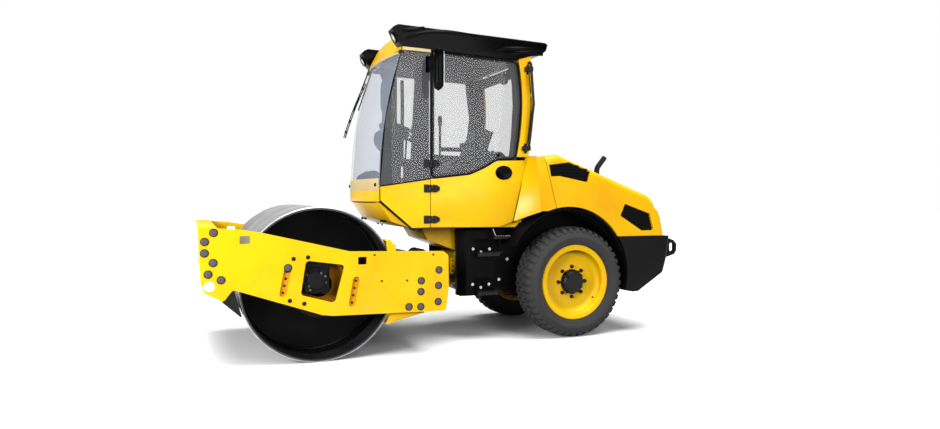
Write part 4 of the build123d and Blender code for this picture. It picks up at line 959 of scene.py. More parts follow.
def ring(part: Shape, finish: Finish, count: int, radius: float, centre: Point, along: Along = Along.Y,
        start: float = 0.0) -> Mesh:
    """Copies of a part round an axis; the part's own X points outward and its Z along the axis."""
    turn = {Along.Y: (-math.pi / 2, 0.0, 0.0), Along.X: (0.0, math.pi / 2, 0.0), Along.Z: ORIGIN}[along]
    return layout(Ring).mesh(part, finish, Count=count, Radius=radius, Start=start, Turn=turn,
        Centre=centre)


def row(part: Shape, finish: Finish, count: int, start: Point, step: Point, turn: Point = ORIGIN) -> Mesh:
    """Copies of a part in a straight row."""
    return layout(Row).mesh(part, finish, Count=count, Start=start, Step=step, Turn=turn)


def spots(part: Shape, finish: Finish, places: Sequence[Point], turn: Point = ORIGIN, spin: float = 1.0,
        seed: int = 7) -> Mesh:
    """Copies of a part, whose own Y points outward, at given places."""
    host = bpy.data.meshes.new("places")
    host.from_pydata(list(places), [], [])
    return layout(Spots).mesh(part, finish, host, Turn=turn, Spin=spin, Seed=seed)


def hex_bolt(across: float, height: float, washer: float = 0.0) -> Shape:
    """A hexagon head on a washer, its base at nought and its axis along Y."""
    shape = Shape()
    base = height * 0.22 if washer else 0.0
    if washer:
        shape.lathe(rect(0.0, 0.0, washer, base), ORIGIN, count=20)
    corner = across / math.sqrt(3)
    return shape.prism(circle(corner, 6), base, height, across * 0.07, segments=1)


# -------------------------------------------------------------- drum and its frame
@dataclass
class DrumFrame:
    """Side plates with their plugs, bolts and pressed slots, beams and scrapers."""

    plug_radius: float = 0.031
    plug_stand: float = 0.004
    bolt_across: float = 0.024
    plugs: list[Flat] = field(default_factory=lambda: [(780, 1033 - 610), (841, 968 - 610),
        (843, 885 - 610), (784, 813 - 610), (819, 730 - 610), (730, 685 - 610), (-962, 697 - 610),
        (-809, 614 - 610), (-958, 569 - 610), (-806, 525 - 610), (-955, 436 - 610), (-704, 406 - 610),
        (-805, 402 - 610), (252, 147)])
    bolts: list[Flat] = field(default_factory=lambda: [(210, 214), (102, 223), (239, -104), (131, -132)])
    studs: list[Flat] = field(default_factory=lambda: [(-419, 226), (-913, 215), (-478, 16), (-689, 11)])
    slot_depth: float = 0.014
    slot_half: float = 0.026
    slots: list[tuple[Flat, Flat]] = field(default_factory=lambda: [((250, 149), (295, -73)),
        ((-277, 59), (-234, -178))])

    def build(self) -> list[Item]:
        """Make every piece of the drum frame."""
        return [*self.make_plates(), self.make_plugs(), self.make_plug_rings(), self.make_bolts(),
            *self.make_beams(), *self.make_scrapers(), *self.make_carriers(), self.make_motors(),
            self.make_fittings()]

    def spot(self, place: Flat, out: float) -> Point:
        """A point on the left plate's face, from the drum's axis in millimetres."""
        x, z = AT.from_drum(*place)
        return x, out, z

    def make_plates(self) -> list[Item]:
        """Both side plates, with their two pressed slots and the slots' floors."""
        plates = softened("side_plates", 0.004).mesh()
        cutter = Shape()
        face = AT.plate_out
        pockets = []
        for top, bottom in self.slots:
            middle = AT.from_drum((top[0] + bottom[0]) / 2, (top[1] + bottom[1]) / 2)
            span = Vector((top[0] - bottom[0], top[1] - bottom[1]))
            lean = math.degrees(math.atan2(span.x, span.y))
            pockets.append((middle, span.length / 2000, lean))
            cutter.prism(oblong(middle, span.length / 2000, self.slot_half, lean), face - self.slot_depth,
                face + 0.01)
        cutter.both()
        cut = with_holes(plates, cutter.mesh())
        shape = Shape().add(cut)
        floors = Shape()
        for middle, half_long, lean in pockets:
            floors.prism(oblong(middle, half_long, self.slot_half - 0.003, lean),
                face - self.slot_depth - 0.001, face - self.slot_depth + 0.001)
        floors.both()
        return [floors.piece("plate_pockets", POCKET, Body.DRUM_FRAME, "yellow_paint"),
            shape.piece("drum_frame_plates", YELLOW, Body.DRUM_FRAME, "yellow_paint", ["side_plates"])]

    def make_plugs(self) -> Item:
        """Domed caps over the frame's fixing holes."""
        r = self.plug_radius
        cap = Shape().lathe([(0.0, 0.0055), (r * 0.5, 0.005), (r * 0.78, 0.0035), (r * 0.84, 0.002),
            (r * 0.84, -0.004), (0.0, -0.004)], ORIGIN, count=28)
        shape = Shape()
        places = [self.spot(p, AT.plate_out) for p in self.plugs]
        shape.add(spots(cap, SLATE, places))
        return shape.both().piece("frame_plug_caps", SLATE, Body.DRUM_FRAME, "black_paint")

    def make_plug_rings(self) -> Item:
        """Black rubber ring round each cap."""
        r = self.plug_radius
        collar = Shape().lathe([(r, -0.003), (r, self.plug_stand * 0.6), (r * 0.95, self.plug_stand),
            (r * 0.86, self.plug_stand), (r * 0.84, -0.003)], ORIGIN, count=28)
        shape = Shape().add(spots(collar, BLACK_PLASTIC, [self.spot(p, AT.plate_out) for p in self.plugs]))
        return shape.both().piece("frame_plug_rings", BLACK_PLASTIC, Body.DRUM_FRAME, "black_plastic")

    def make_bolts(self) -> Item:
        """Bolts round the hub window, and small ones along the plate."""
        shape = Shape()
        big = [self.spot(p, AT.plate_out - 0.001) for p in self.bolts]
        small = [self.spot(p, AT.plate_out - 0.001) for p in self.studs]
        shape.add(spots(hex_bolt(self.bolt_across, 0.007, 0.017), BLACK, big, seed=3))
        shape.add(spots(hex_bolt(0.013, 0.005, 0.009), BLACK, small, seed=5))
        sunk = [self.spot((bottom[0] + (top[0] - bottom[0]) * share,
            bottom[1] + (top[1] - bottom[1]) * share), AT.plate_out - self.slot_depth)
            for top, bottom in self.slots for share in (0.14, 0.38, 0.62, 0.86)]
        shape.add(spots(hex_bolt(0.014, 0.006, 0.01), BLACK, sunk, seed=6))
        return shape.both().piece("frame_plate_bolts", BLACK, Body.DRUM_FRAME, "black_paint")

    def make_beams(self) -> list[Item]:
        """Front and rear beams with rounded edges."""
        front = softened("front_crossmember", 0.004)
        rear = softened("rear_crossmember", 0.004)
        return [front.piece("front_beam", YELLOW, Body.DRUM_FRAME, "yellow_paint", ["front_crossmember"]),
            rear.piece("rear_beam", YELLOW, Body.DRUM_FRAME, "yellow_paint", ["rear_crossmember"])]

    def make_scrapers(self) -> list[Item]:
        """Bolt heads along each scraper's blade."""
        shape = Shape()
        for x, z in (AT.from_drum(640, -162), AT.from_drum(-600, -312)):
            shape.add(row(hex_bolt(0.022, 0.012, 0.016), BLACK, 9, (x, -0.76, z), (0.0, 0.19, 0.0),
                (-math.pi / 2, 0.0, 0.0)))
        return [shape.piece("scraper_bolts", BLACK, Body.DRUM_FRAME, "black_paint")]

    def make_carriers(self) -> list[Item]:
        """Drum carriers: a black mounting ring, and the dish inside it, whose brown is painted shade."""
        centre = AT.drum
        collar = Shape().lathe([(0.213, 0.884), (0.213, 0.83), (0.24, 0.849), (0.249, 0.853),
            (0.249, 0.884)], centre, count=96)
        tube = rect(0.128, 0.446, 0.136, 0.8)
        collar.lathe(tube, centre, count=64)
        dish = Shape().lathe([(0.212, 0.884), (0.208, 0.884), (0.204, 0.812), (0.196, 0.806), (0.1, 0.806),
            (0.1, 0.8), (0.198, 0.8), (0.212, 0.812)], centre, count=96)
        collar.both()
        dish.both()
        return [collar.piece("carrier_rings", BLACK_DULL, Body.DRUM_FRAME, "black_paint",
            ["drum_carriers"]), dish.piece("carrier_dishes", RECESS_SHADE, Body.DRUM_FRAME, "yellow_paint",
            ["drum_carriers"])]

    def make_motors(self) -> Item:
        """Drive motor in each hub window, with its valve block."""
        outline = rounded([(1.273, 0.8), (1.273, 0.56), (1.29, 0.538), (1.312, 0.534), (1.389, 0.56),
            (1.455, 0.556), (1.492, 0.6), (1.496, 0.7), (1.48, 0.8)], 0.014)
        shape = Shape().prism(outline, 0.808, 0.868, 0.01, segments=3)
        shape.lathe([(0.0, 0.9), (0.06, 0.9), (0.068, 0.894), (0.072, 0.88), (0.098, 0.876), (0.108, 0.868),
            (0.108, 0.5), (0.0, 0.5)], (AT.drum_x + 0.035, 0.0, AT.drum_z + 0.04), count=56)
        shape.box((1.3, 0.86, 0.64), (1.345, 0.892, 0.74), 0.006)
        shape.box((1.405, 0.86, 0.56), (1.47, 0.884, 0.62), 0.006)
        shape.add(ring(turned_to_axis(hex_bolt(0.018, 0.01, 0.013)), BLACK, 10, 0.088,
            (AT.drum_x + 0.035, 0.876, AT.drum_z + 0.04), start=0.2))
        return shape.both().piece("drive_motor_blocks", BLACK_DULL, Body.DRUM_FRAME, "black_paint",
            ["drum_motors"])

    def make_fittings(self) -> Item:
        """Plated hose ends, plugs and a test point round each drive motor."""
        ends = [(1.343, 0.894, 0.705), (1.312, 0.894, 0.68), (1.304, 0.872, 0.629), (1.435, 0.886, 0.608),
            (1.427, 0.886, 0.577), (1.45, 0.87, 0.694)]
        shape = Shape().add(spots(hex_bolt(0.017, 0.01, 0.01), SLATE, ends, seed=8))
        shape.lathe([(0.0, 0.012), (0.011, 0.012), (0.015, 0.008), (0.015, 0.0), (0.0, 0.0)],
            (1.194, 0.808, 0.752), count=20)
        return shape.both().piece("motor_fittings", SLATE, Body.DRUM_FRAME, "black_paint")


@dataclass
class Drum:
    """Rolled shell with ground edges, its painted inside, and the heads' weld beads."""

    shell_t: float = 0.022
    head_y: float = 0.413
    edge: float = 0.009
    worn_from: float = 0.61

    def build(self) -> list[Item]:
        """Make the drum's pieces."""
        return [self.make_shell(), *self.make_inside()]

    def make_shell(self) -> Item:
        """Outer half of the shell, with a chamfer at each end."""
        r, half = AT.drum_radius, AT.drum_half
        inner = r - self.edge
        profile = [(inner, -half), (r - 0.007, -half), (r, -half + 0.007), (r, half - 0.007),
            (r - 0.007, half), (inner, half)]
        shape = Shape().lathe(profile, AT.drum, count=128)
        return shape.piece("drum_shell_steel", STEEL, Body.DRUM, "drum_steel", ["drum_shell"])

    def make_inside(self) -> list[Item]:
        """Enamelled inside of the shell, with a bead where each head is welded in; towards each open end it
        is grey, a painted sheen.
        """
        outer = AT.drum_radius - self.edge
        inner = AT.drum_radius - self.shell_t
        half = AT.drum_half - 0.001
        sheen_start = self.worn_from
        shape = Shape().lathe(rect(inner, -sheen_start, outer, sheen_start), AT.drum, count=128)
        # The grey band at each mouth is painted sheen.
        mouth = Shape().lathe(rect(inner, sheen_start, outer, half), AT.drum, count=128)
        mouth.both()
        bead = [(inner + 0.001, self.head_y - 0.001), (inner + 0.001, self.head_y + 0.012),
            (inner - 0.005, self.head_y + 0.009), (inner - 0.012, self.head_y - 0.001)]
        shape.lathe(bead, AT.drum, count=128)
        shape.lathe([(r, -y) for r, y in bead], AT.drum, count=128)
        return [shape.piece("drum_inside_paint", DRUM_PAINT, Body.DRUM, "black_paint"),
            mouth.piece("drum_mouths", MOUTH_SHEEN, Body.DRUM, "drum_steel")]


# -------------------------------------------------------------------------- wheels
@dataclass
class Wheel:
    """Rear wheel: block-tread tyre, rolled rim, hub cover, nuts and valve."""

    side: Side = Side.LEFT
    blocks: int = 44
    groove: float = 0.016
    crown: float = 0.511
    nut_circle: float = 0.141
    nut_count: int = 8

    def build(self) -> list[Item]:
        """Make the wheel's pieces."""
        return [self.make_tyre(), self.make_rim(), self.make_hub(), self.make_nuts()]

    @property
    def centre(self) -> Point:
        """Middle of the wheel as drawn for the left side."""
        return AT.axle_x, AT.tyre_y, AT.axle_z

    def make_tyre(self) -> Item:
        """Carcass with its moulded rings, and five rows of tread blocks round it."""
        base = self.crown - self.groove
        side = [(base, 0.0), (base - 0.001, 0.06), (base - 0.006, 0.1), (base - 0.018, 0.124),
            (base - 0.034, 0.138), (base - 0.056, 0.15), (0.4235, 0.1545), (0.4205, 0.156), (0.4165, 0.156),
            (0.414, 0.1535), (0.4, 0.1515), (0.385, 0.1455), (0.3745, 0.14), (0.372, 0.141), (0.369, 0.14),
            (0.3665, 0.135), (0.3555, 0.1255), (0.3495, 0.112), (0.306, 0.112)]
        profile = [(r, y) for r, y in reversed(side)] + [(r, -y) for r, y in side[1:]]
        shape = Shape().lathe(profile, self.centre, count=112)
        g = self.groove
        pitch = math.tau * (base + g / 2) / self.blocks
        middle = Shape()
        for y, shift in ((0.0, 0.0), (0.052, 0.5), (-0.052, 0.5)):
            t = shift * pitch
            outline = [(t - pitch * 0.36, y - 0.021), (t - pitch * 0.2, y - 0.024),
                (t + pitch * 0.36, y - 0.018), (t + pitch * 0.36, y + 0.021), (t + pitch * 0.2, y + 0.024),
                (t - pitch * 0.36, y + 0.018)]
            middle.prism(outline, -0.003, g, 0.0022, Along.X, segments=1)
        shape.add(ring(middle, RUBBER, self.blocks, base, self.centre))
        for sign in (1, -1):
            lug = Shape()
            lug.merge(self.shoulder_lug(pitch, g, sign), 0.002, 1)
            shape.add(ring(lug, RUBBER, self.blocks, base, self.centre,
                start=(0.5 if sign > 0 else 0.0) * math.tau / self.blocks))
        name = self.side.tail
        return shape.on(self.side).piece(f"tyre_with_tread_{name}", RUBBER, WHEELS[self.side],
            "tyre_rubber", [f"tyre_{name}"])

    @staticmethod
    def shoulder_lug(pitch: float, height: float, sign: int) -> bmesh.types.BMesh:
        """One shoulder lug, which wraps from the crown down the tyre's side.

        Args:
            pitch: distance round the tyre from one lug to the next.
            height: how far the lug stands above the grooves.
            sign: which edge of the tread it is on.

        Returns:
            The lug: X outward, Y round the tyre and Z across it.
        """
        part = bmesh.new()
        rows = []
        for across, top, foot, wide in ((0.082, height - 0.003, -0.004, 0.33),
                (0.112, height - 0.009, -0.012, 0.31), (0.13, height - 0.022, -0.024, 0.26),
                (0.14, -0.022, -0.034, 0.2)):
            skew = (across - 0.08) * 0.35
            profile = ((foot, -wide), (foot, wide), (top, wide * 0.92), (top, -wide * 0.92))
            rows.append([part.verts.new((x, y * pitch + skew, sign * across)) for x, y in profile])
        skin(part, rows)
        close_ends(part, rows)
        return part

    def make_rim(self) -> Item:
        """Rim barrel with rolled flanges, and its dished disc."""
        half, flange = 0.123, 0.347
        barrel = []
        for sign in (1, -1):
            edge = [(0.291, 0.1), (0.292, half - 0.014), (0.298, half - 0.006), (0.318, half - 0.003),
                (0.334, half), (0.342, half - 0.001), (flange, half - 0.006), (flange, half - 0.01),
                (0.34, half - 0.0112), (0.305, half - 0.0112)]
            barrel += [(r, sign * y) for r, y in (edge if sign > 0 else reversed(edge))]
        shape = Shape().lathe(barrel, self.centre, count=112)
        disc = [(0.0601, 0.047), (0.17, 0.047), (0.236, 0.043), (0.252, 0.04), (0.262, 0.043),
            (0.276, 0.051), (0.286, 0.061), (0.2915, 0.074), (0.2915, 0.03), (0.262, 0.024),
            (0.0601, 0.026)]
        shape.lathe(disc, self.centre, count=112)
        name = self.side.tail
        return shape.on(self.side).piece(f"rim_rolled_{name}", YELLOW, WHEELS[self.side], "yellow_paint",
            [f"rim_{name}"])

    def make_hub(self) -> Item:
        """Cast cover of the final drive, with a filler plug and ribs round its edge."""
        base, face = 0.047, 0.102
        r = 0.112
        shape = Shape().lathe([(0.0601, base), (r + 0.004, base), (r + 0.002, base + 0.012),
            (r, base + 0.016), (r - 0.004, face - 0.022), (r - 0.01, face - 0.01), (r - 0.022, face),
            (r - 0.03, face), (r - 0.033, face - 0.004), (0.0, face - 0.004)], self.centre, count=64,
            closed=False)
        rib = Shape().box((-0.006, -0.008, 0.0), (0.005, 0.008, 0.026), 0.002)
        shape.add(ring(rib, BLACK, 12, r - 0.002, (self.centre[0], self.centre[1] + base + 0.012,
            self.centre[2])))
        plug = hex_bolt(0.024, 0.012, 0.016)
        shape.add(ring(turned_to_axis(plug), BLACK, 1, 0.062,
            (self.centre[0], self.centre[1] + face - 0.004, self.centre[2]), start=-0.7))
        name = self.side.tail
        return shape.on(self.side).piece(f"hub_cover_{name}", BLACK, WHEELS[self.side], "black_paint",
            [f"hub_{name}"])

    def make_nuts(self) -> Item:
        """Wheel nuts with their studs, and the tyre's valve."""
        nut = hex_bolt(0.027, 0.022, 0.018)
        nut.lathe([(0.0, 0.03), (0.007, 0.029), (0.0085, 0.022), (0.0085, 0.0), (0.0, 0.0)], ORIGIN,
            count=12)
        shape = Shape().add(ring(turned_to_axis(nut), BLACK, self.nut_count, self.nut_circle,
            (self.centre[0], self.centre[1] + 0.047, self.centre[2]), start=math.pi / 2))
        valve = Shape().tube([(0.285, 0.0, 0.05), (0.27, 0.0, 0.062), (0.262, 0.0, 0.078)], 0.006)
        shape.add(ring(valve, BLACK, 1, 0.0, self.centre, start=2.52))
        name = self.side.tail
        return shape.on(self.side).piece(f"wheel_nuts_{name}", BLACK, WHEELS[self.side], "black_paint")


def turned_to_axis(part: Shape) -> Shape:
    """A part whose axis is Y, turned so that its axis is Z, as a ring's parts are drawn."""
    return part.turned(90, "X")


# ----------------------------------------------------------------------------- cab
@dataclass
class CabShell:
    """Painted panels of the cab with rounded edges, its cream trim, seals and bolts."""

    nose_ahead: float = 0.448
    nose_bow: float = 0.057
    nose_half: float = 0.545
    band_low: float = 1.352
    band_high: float = 1.456

    def build(self) -> list[Item]:
        """Make the shell's pieces."""
        return [*self.make_panels(), self.make_cream(), self.make_seals(), self.make_bolts()]

    def make_panels(self) -> list[Item]:
        """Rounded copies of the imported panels."""
        rows = [("cab_side_panels", 0.003, YELLOW, "yellow_paint"),
            ("cab_nose", 0.006, YELLOW, "yellow_paint"), ("rear_posts", 0.005, YELLOW, "yellow_paint"),
            ("cab_floor", 0.005, YELLOW, "yellow_paint"), ("roof_header", 0.004, YELLOW_SHELL,
            "yellow_shell")]
        return [softened(node, width).piece(f"{node}_pressed", finish, Body.FRAME, slot, [node])
            for node, width, finish, slot in rows]

    def bow(self, ahead: float, bulge: float, half: float, height: float, count: int = 24) -> list[Point]:
        """Points along the cab's bowed front at a height."""
        line = []
        for i in range(count + 1):
            y = half - 2 * half * i / count
            line.append((AT.hinge_x + ahead + bulge * (1 - (y / half) ** 2), y, height))
        return line

    def make_cream(self) -> Item:
        """Cream strips: under the windscreen, over it, and over each quarter pane."""
        shape = Shape()
        mid = (self.band_low + self.band_high) / 2
        tall = (self.band_high - self.band_low) / 2
        foot = self.bow(self.nose_ahead + 0.004, self.nose_bow, self.nose_half, mid)
        shape.sweep(foot, rounded(rect(-0.004, -tall, 0.004, tall), 0.003, 2))
        head = self.bow(0.281, 0.048, 0.56, 2.528)
        shape.sweep(head, rounded(rect(-0.004, -0.011, 0.004, 0.011), 0.002, 2))
        edge = [(AT.hinge_x + 0.004, 2.546), (AT.hinge_x + 0.248, 2.549), (AT.hinge_x + 0.255, 2.577),
            (AT.hinge_x + 0.004, 2.573)]
        strip = Shape().prism(edge, 0.585, 0.604, 0.002)
        strip.both()
        shape.add(strip.mesh())
        return shape.piece("cream_trim_strips", CREAM, Body.FRAME, "yellow_shell")

    def make_seals(self) -> Item:
        """Rubber edging: round the quarter panes, under the nose, and down each front edge."""
        shape = Shape()
        flat = rounded(rect(-0.0055, -0.004, 0.0055, 0.004), 0.002, 2)
        x = AT.hinge_x
        low = [(x + ahead, AT.cab_half_at(ahead * 1000) + 0.001, z)
            for ahead, z in ((0.012, 1.456), (0.2, 1.426), (0.432, 1.391))]
        shape.sweep(low, flat, hold=SIDEWAYS)
        front = [(x + 0.436, 0.54, 1.262), (x + 0.398, 0.544, 1.226), (x + 0.28, 0.556, 1.124),
            (x + 0.158, 0.566, 1.024)]
        shape.tube(curved(front, 4), 0.011, 10)
        second = [(px - 0.03, py - 0.045, pz - 0.012) for px, py, pz in front]
        shape.tube(curved(second, 4), 0.008, 8)
        shape.both()
        shape.tube(self.bow(0.43, self.nose_bow, 0.535, 1.254), 0.009, 8)
        return shape.piece("cab_rubber_edging", BLACK_PLASTIC, Body.FRAME, "black_plastic")

    def make_bolts(self) -> Item:
        """Cap bolts in the cream strip's ends, on the header and under the chin."""
        shape = Shape()
        cap = Shape().lathe([(0.0, 0.012), (0.011, 0.011), (0.015, 0.007), (0.016, 0.0), (0.0, 0.0)],
            ORIGIN, count=20)
        x = AT.hinge_x + self.nose_ahead
        ends = [(x + 0.018, 0.498, 1.402), (x + 0.018, -0.498, 1.402)]
        shape.add(spots(cap, BLACK, ends, (0.0, 0.0, -1.45), spin=0.0))
        screw = Shape().lathe([(0.0, 0.013), (0.014, 0.012), (0.019, 0.007), (0.02, 0.0), (0.0, 0.0)],
            ORIGIN, count=20)
        sides = [(AT.hinge_x + 0.262, 0.566, 2.537)]
        near = Shape().add(spots(screw, BLACK, sides, spin=0.0))
        near.both()
        shape.add(near.mesh())
        chin = [(AT.hinge_x + 0.36, y, 1.092) for y in (-0.42, -0.3, 0.3, 0.36, 0.42)]
        shape.add(spots(hex_bolt(0.02, 0.014, 0.015), BLACK, chin, (-2.3, 0.0, 0.0), seed=4))
        return shape.piece("cab_bolts", BLACK, Body.FRAME, "black_paint")


@dataclass
class Door:
    """One door: its panel, the black border round its pane, its handle and its hinge screws."""

    side: Side = Side.LEFT
    border: float = 0.016
    handle_at: Flat = (697, 1520)
    handle_half: Flat = (0.083, 0.064)
    pane: list[Flat] = field(default_factory=lambda: [(0, 1454), (0, 2563), (425, 2548), (826, 2536),
        (862, 2330), (876, 2138), (858, 1900), (820, 1642), (625, 1627), (512, 1560), (364, 1496)])

    def build(self) -> list[Item]:
        """Make the door's pieces."""
        return [self.make_panel(), self.make_border(), self.make_handle()]

    def make_panel(self) -> Item:
        """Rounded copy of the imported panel."""
        node = f"door_panel_{self.side.tail}"
        return softened(node, 0.003).piece(f"{node}_pressed", YELLOW, DOORS[self.side], "yellow_paint",
            [node])

    def make_border(self) -> Item:
        """Printed border and rubber lip round the pane."""
        outline = [AT.from_hinge(*p) for p in self.pane]
        middle = Vector((sum(p[0] for p in outline), sum(p[1] for p in outline))) / len(outline)
        path = []
        for u, v in rounded(outline, 0.05, 4):
            toward = (middle - Vector((u, v))).normalized() * (self.border * 0.62)
            path.append((u + toward.x, AT.cab_half + 0.0005, v + toward.y))
        half = self.border / 2
        section = rounded(rect(-half, -0.002, half, 0.002), 0.001, 2)
        shape = Shape().sweep(path, section, closed=True, hold=SIDEWAYS)
        return shape.on(self.side).piece(f"door_pane_border_{self.side.tail}", BLACK_PLASTIC,
            DOORS[self.side], "black_plastic")

    def make_handle(self) -> Item:
        """Oval handle cup with its paddle, the lock knob above and the hinge screws."""
        cx, cz = AT.from_hinge(*self.handle_at)
        wide, tall = self.handle_half
        face = AT.cab_half
        shape = Shape()
        rings = [(1.0, -0.001), (1.0, 0.004), (0.95, 0.006), (0.9, 0.004), (0.84, 0.002)]
        part = bmesh.new()
        count = 40
        loops = [[part.verts.new((cx + wide * u, face + out, cz + tall * v))
            for u, v in circle(scale, count)] for scale, out in rings]
        loops.append([part.verts.new((cx, face + 0.002, cz))] * count)
        skin(part, loops)
        shape.merge(part)
        shape.box((cx - 0.05, face - 0.004, cz - 0.01), (cx + 0.05, face + 0.005, cz + 0.024), 0.003)
        shape.lathe([(0.0, 0.014), (0.01, 0.014), (0.014, 0.01), (0.014, 0.0), (0.0, 0.0)],
            (cx + 0.057, face, 1.679), count=20)
        screws = [(AT.hinge_x - ahead, face + 0.0055, z + shift) for z in (1.103, 1.372, 1.589)
            for ahead, shift in ((0.034, 0.022), (0.034, -0.022), (0.062, 0.0))]
        shape.add(spots(hex_bolt(0.01, 0.003, 0.0065), BLACK, screws, seed=9))
        return shape.on(self.side).piece(f"door_handle_{self.side.tail}", BLACK_GLOSS, DOORS[self.side],
            "black_gloss")


@dataclass
class Roof:
    """Moulded roof: rounded shell, side creases, lamp bezels and rear lamps."""

    creases: list[list[Flat]] = field(default_factory=lambda: [[(-235, 2631), (-185, 2662), (-120, 2690),
        (-40, 2712), (60, 2724), (173, 2728), (330, 2720), (457, 2708)],
        [(-260, 2700), (-180, 2722), (-60, 2738)], [(620, 2618), (752, 2640), (900, 2648), (1100, 2652)],
        [(760, 2592), (900, 2616), (1090, 2622)]])

    def build(self) -> list[Item]:
        """Make the roof's pieces."""
        return [self.make_shell(), self.make_bezels(), self.make_lenses(), self.make_liner()]

    def make_shell(self) -> Item:
        """The shell, with soft ridges along its sides where the moulding is creased."""
        shape = softened("roof", 0.006, 3)
        sides = Shape()
        for line in self.creases:
            path = curved([(*AT.from_hinge(a, z)[:1], 0.6045, z / 1000) for a, z in line], 4)
            count = len(path) - 1
            part = bmesh.new()
            rings = []
            for i, (x, y, z) in enumerate(path):
                fade = math.sin(math.pi * min(1.0, max(0.0, 0.06 + 0.88 * i / count)))
                section = [(-0.004, -0.02), (0.008 * fade, -0.004), (0.01 * fade, 0.004),
                    (0.006 * fade, 0.012), (-0.004, 0.026)]
                rings.append([part.verts.new((x, y + out, z + up)) for out, up in section])
            skin(part, rings)
            close_ends(part, rings)
            sides.merge(part)
        sides.both()
        shape.add(sides.mesh())
        return shape.piece("roof_moulded", BLACK_GLOSS, Body.FRAME, "black_plastic", ["roof"])

    def lamp(self, profile: list[Flat], count: int = 40) -> Shape:
        """A turned piece on the left front lamp's axis, which leans forward and down."""
        shape = Shape().lathe(profile, ORIGIN, Along.X, count)
        shape.turned(27.6, "Y")
        return shape.moved((AT.hinge_x + 0.3155, 0.558, 2.655))

    def make_bezels(self) -> Item:
        """Deep bezel round each front lamp."""
        shape = self.lamp([(0.044, -0.03), (0.049, -0.01), (0.049, 0.01), (0.046, 0.015), (0.039, 0.015),
            (0.0365, 0.01), (0.036, -0.03)])
        return shape.both().piece("lamp_bezels", BLACK_GLOSS, Body.FRAME, "black_gloss")

    def make_lenses(self) -> Item:
        """Ribbed lens of each front lamp, and the two rear ones."""
        shape = self.lamp([(0.0, 0.0125), (0.012, 0.012), (0.024, 0.0105), (0.034, 0.007), (0.036, 0.0),
            (0.0, 0.0)])
        rib = Shape().box((0.004, -0.0012, 0.0105), (0.03, 0.0012, 0.0125), 0.0006)
        ribs = Shape().add(ring(rib, LENS, 16, 0.0, ORIGIN, Along.X))
        ribs.turned(27.6, "Y").moved((AT.hinge_x + 0.3155, 0.558, 2.655))
        shape.add(ribs.mesh())
        shape.lathe([(0.0, 0.006), (0.018, 0.005), (0.026, 0.0), (0.0, 0.0)],
            (AT.hinge_x - 1.139, 0.47, 2.684), Along.X, 32)
        return shape.both().piece("lamp_lenses", LENS, Body.FRAME, "lamp_lens")

    def make_liner(self) -> Item:
        """Dark headliner under the shell, with a map light."""
        line = [(ahead, height - 4) for ahead, height in ((225, 2576), (-42, 2570), (-425, 2556),
            (-800, 2544))]
        outline = [AT.from_hinge(-a, z) for a, z in line] + [AT.from_hinge(-a, z - 34)
            for a, z in reversed(line)]
        shape = Shape().prism(outline, -0.552, 0.552, 0.008)
        shape.box((AT.hinge_x - 0.3, -0.08, 2.508), (AT.hinge_x - 0.16, 0.08, 2.53), 0.006)
        return shape.piece("headliner", BLACK_DULL, Body.FRAME, "interior_trim")


